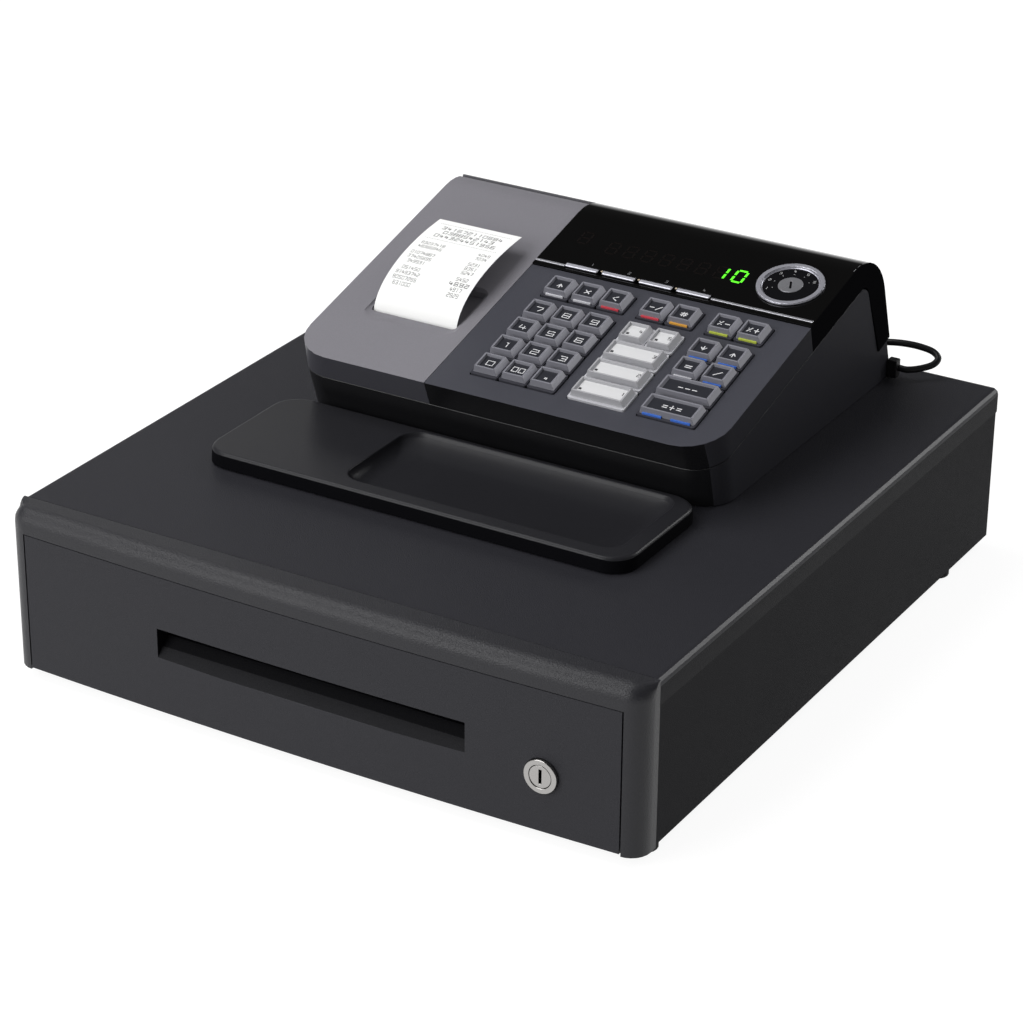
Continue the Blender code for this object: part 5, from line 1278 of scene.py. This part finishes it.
def slip_points():
    """Places along the slip from its slot to its free end, as deck V and N, with the length up to each."""
    places, lengths = [], [0.0]
    for step in range(PAPER_STEPS + 1):
        share = step / PAPER_STEPS
        rest = 1 - share
        weights = (rest ** 3, 3 * rest ** 2 * share, 3 * rest * share ** 2, share ** 3)
        pulls = [Vector(point) * weight for point, weight in zip(PAPER_PATH, weights)]
        places.append(sum(pulls, Vector((0, 0))))
        if step:
            lengths.append(lengths[-1] + (places[-1] - places[-2]).length)
    return places, lengths


def bend_onto_slip(piece):
    """Bend a flat mesh, drawn with X across and Y along the slip from its slot, onto the slip's curve."""
    places, lengths = slip_points()
    for vertex in piece.data.vertices:
        goal = min(max(vertex.co.y, 0), lengths[-1])
        index = next(step for step in range(1, len(lengths)) if lengths[step] >= goal - FINE / 10)
        share = (goal - lengths[index - 1]) / (lengths[index] - lengths[index - 1])
        run = (places[index] - places[index - 1]).normalized()
        point = places[index - 1].lerp(places[index], share)
        vertex.co = (vertex.co.x, point.x - run.y * vertex.co.z, point.y + run.x * vertex.co.z)


class REGISTER_OT_printer(bpy.types.Operator):
    """Printer cover and the printer under it"""
    bl_idname = "register.printer"
    bl_label = "Printer"

    def execute(self, context):
        look = context.scene.register_head
        paint_grain = {"grain": 0.12, "grain_scale": 2500, "drift": 0.05, "speck_scale": 2600}
        silver = finish("silver_paint", look.silver_colour, 0.42, metallic=0.12, specks=0.35, **paint_grain)
        # Painted highlight: the lighter silver on the cover's rounded edges stands for light caught there.
        edge = finish("silver_edge", (0.33, 0.32, 0.35), 0.30, metallic=0.1, specks=0.2)
        band = finish("silver_band", look.cover_shade_colour, 0.30, metallic=0.1, specks=0.3, specular=0.5,
                      **paint_grain)
        dress("printer_cover", "printer_lid", "cover", [silver, edge, band],
              look.edge_round, 3, 1, paints=((2, self.on_band, None),))
        black = finish("printer_black", (0.014, 0.014, 0.015), 0.42, grain=0.2)
        rubber = finish("platen_rubber", (0.012, 0.012, 0.012), 0.6)
        paper = finish("roll_paper", (0.78, 0.78, 0.77), 0.8, specks=0.04)
        for node, body, slot, made in (("printer_frame", "cabinet", "satin_black", black),
                                       ("platen_roller", "platen", "rubber", rubber),
                                       ("paper_roll", "roll", "paper", paper)):
            dress(node, node + "_shell", body, [made], PRINTER_ROUND, 2)
        return {"FINISHED"}

    def on_band(self, middle, normal):
        """The upright faces at the cover's front and left, which get the darker silver as painted shade."""
        return normal.z < 0.5 and (on_deck(middle).y < DECK_FRONT or middle.x < COVER_LEFT)


HEADLINE = (0.0024, 0.0030, 0.0006)
ROW = (0.0014, 0.0024, 0.0004)
TOTAL = (0.0024, 0.0026)
INK_RISE = 0.00004
HEAD_ROWS = ((0.0095, 12), (0.0143, 10), (0.0191, 12))
DOTTED_ROWS = (0.0050, 0.0235)
DOT_STEP = 0.0012
DOT_LENGTH = 0.0005
DOTS = 42
DOTS_LEFT = -0.025
SUM_ROWS = (0.0290, 0.0330)
ITEM_ROWS = (0.0395, 0.0437, 0.0479, 0.0538, 0.0580, 0.0622, 0.0664)
TOTAL_ROW = 0.0580


class REGISTER_OT_receipt(bpy.types.Operator):
    """Printed slip that bends out of its slot"""
    bl_idname = "register.receipt"
    bl_label = "Receipt"

    def execute(self, context):
        length = slip_points()[1][-1]
        bpy.ops.object.select_all(action="DESELECT")
        bpy.ops.mesh.primitive_grid_add(x_subdivisions=24, y_subdivisions=56, size=1,
                                        location=(0, length / 2, 0))
        slip = new_piece("receipt_slip")
        slip.scale = (PAPER_WIDTH, length, 1)
        apply_place(slip)
        bend_onto_slip(slip)
        apply_modifier(slip, "SOLIDIFY", thickness=PAPER_THICK, offset=0)
        select_only(slip)
        bpy.ops.object.shade_smooth_by_angle(angle=EDGE_ANGLE)
        paper = finish("slip_paper", (0.92, 0.92, 0.91), 0.75, specks=0.03, drift=0.02)
        across = Matrix.Translation((PAPER_X, 0, 0))
        settle(slip, "cover", [paper], ["receipt"], place=DECK @ across)
        ink = finish("slip_ink", (0.015, 0.015, 0.018), 0.6, specks=0.1, specular=0.05)
        bold, fine = self.lines(length)
        for name, marks, stroke in (("receipt_headline", bold, HEADLINE[2]),
                                    ("receipt_rows", fine, ROW[2])):
            rows = line_marks(name, marks, stroke, PAPER_THICK / 2, INK_RISE)
            bend_onto_slip(rows)
            settle(rows, "cover", [ink], place=DECK @ across)
        return {"FINISHED"}

    def lines(self, length):
        """Bold and fine strokes of rows of plain numerals and dots, from the free end down to the slot."""
        chance = random.Random(4)
        bold, fine = [], []

        def numerals(x, down, count, width, height):
            text = "".join(chance.choice("0123456789") for _ in range(count))
            return written(text, width, height, width * 0.5, (x, length - down))

        def dots(down):
            lefts = [step * DOT_STEP + DOTS_LEFT for step in range(DOTS)]
            return [[(left, length - down), (left + DOT_LENGTH, length - down)] for left in lefts]

        for down, count in HEAD_ROWS:
            bold += numerals(0, down, count, *HEADLINE[:2])
        for down in DOTTED_ROWS:
            fine += dots(down)
        for down in SUM_ROWS:
            fine += numerals(-0.0160, down, 8, *ROW[:2])
            fine += numerals(0.0200, down, 4, *ROW[:2])
        for down in ITEM_ROWS:
            wide = down == TOTAL_ROW
            fine += numerals(-0.0170, down, chance.choice((6, 8)), *ROW[:2])
            width, height = TOTAL if wide else (ROW[0], TOTAL[1])
            (bold if wide else fine).extend(numerals(0.0190, down, 4, width, height))
        return bold, fine


TRAY_ROUND = 0.0007
TRAY_WALL_TOP = LID_TOP + 0.0092


class REGISTER_OT_pen_tray(bpy.types.Operator):
    """Loose tray that lies in front of the head"""
    bl_idname = "register.pen_tray"
    bl_label = "Pen tray"

    def execute(self, context):
        top = finish("tray_charcoal", (0.016, 0.016, 0.019), 0.36, grain=0.10, grain_scale=2200, drift=0.04,
                     specks=0.2, specular=0.22)
        # Painted highlight: the lighter finish on the tray's rounded edges.
        edge = finish("tray_edge", (0.060, 0.058, 0.064), 0.32, grain=0.08, specks=0.2, specular=0.45)
        # Painted shade: the tray's upright outer walls are near black.
        wall = finish("tray_wall", (0.004, 0.004, 0.005), 0.45, grain=0.15, specks=0.2, specular=0.02)
        dress("pen_tray", "loose_tray", "cabinet", [top, edge, wall], TRAY_ROUND, 4, 1,
              paints=((2, lambda middle, normal: abs(normal.z) < 0.2 and middle.z < TRAY_WALL_TOP, None),))
        return {"FINISHED"}


class REGISTER_PT_panel(bpy.types.Panel):
    """Lists the operators that model the register"""
    bl_idname = "REGISTER_PT_panel"
    bl_label = "Ticket register"
    bl_space_type = "VIEW_3D"
    bl_region_type = "UI"
    bl_category = "Register"

    def draw(self, context):
        for step in STEPS:
            self.layout.operator(step.bl_idname)


STEPS = (
    REGISTER_OT_stage, REGISTER_OT_lead, REGISTER_OT_cabinet, REGISTER_OT_drawer, REGISTER_OT_lock,
    REGISTER_OT_head, REGISTER_OT_trim, REGISTER_OT_dial, REGISTER_OT_display, REGISTER_OT_keys,
    REGISTER_OT_printer, REGISTER_OT_receipt, REGISTER_OT_pen_tray,
)
LOOKS = {
    "register_stage": RegisterStage,
    "register_cabinet": RegisterCabinet,
    "register_head": RegisterHead,
    "register_keys": RegisterKeys,
    "register_display": RegisterDisplay,
}


def register():
    for look in LOOKS.values():
        bpy.utils.register_class(look)
    for name, look in LOOKS.items():
        setattr(bpy.types.Scene, name, PointerProperty(type=look))
    for step in (*STEPS, REGISTER_PT_panel):
        bpy.utils.register_class(step)


def unregister():
    for step in reversed((*STEPS, REGISTER_PT_panel)):
        bpy.utils.unregister_class(step)
    for name in LOOKS:
        delattr(bpy.types.Scene, name)
    for look in reversed(list(LOOKS.values())):
        bpy.utils.unregister_class(look)


def main():
    register()
    bpy.ops.register.stage()
    bpy.ops.register.lead()
    bpy.ops.register.cabinet()
    bpy.ops.register.drawer()
    bpy.ops.register.lock()
    bpy.ops.register.head()
    bpy.ops.register.trim()
    bpy.ops.register.dial()
    bpy.ops.register.display()
    bpy.ops.register.keys()
    bpy.ops.register.printer()
    bpy.ops.register.receipt()
    bpy.ops.register.pen_tray()


if __name__ == "__main__":
    main()
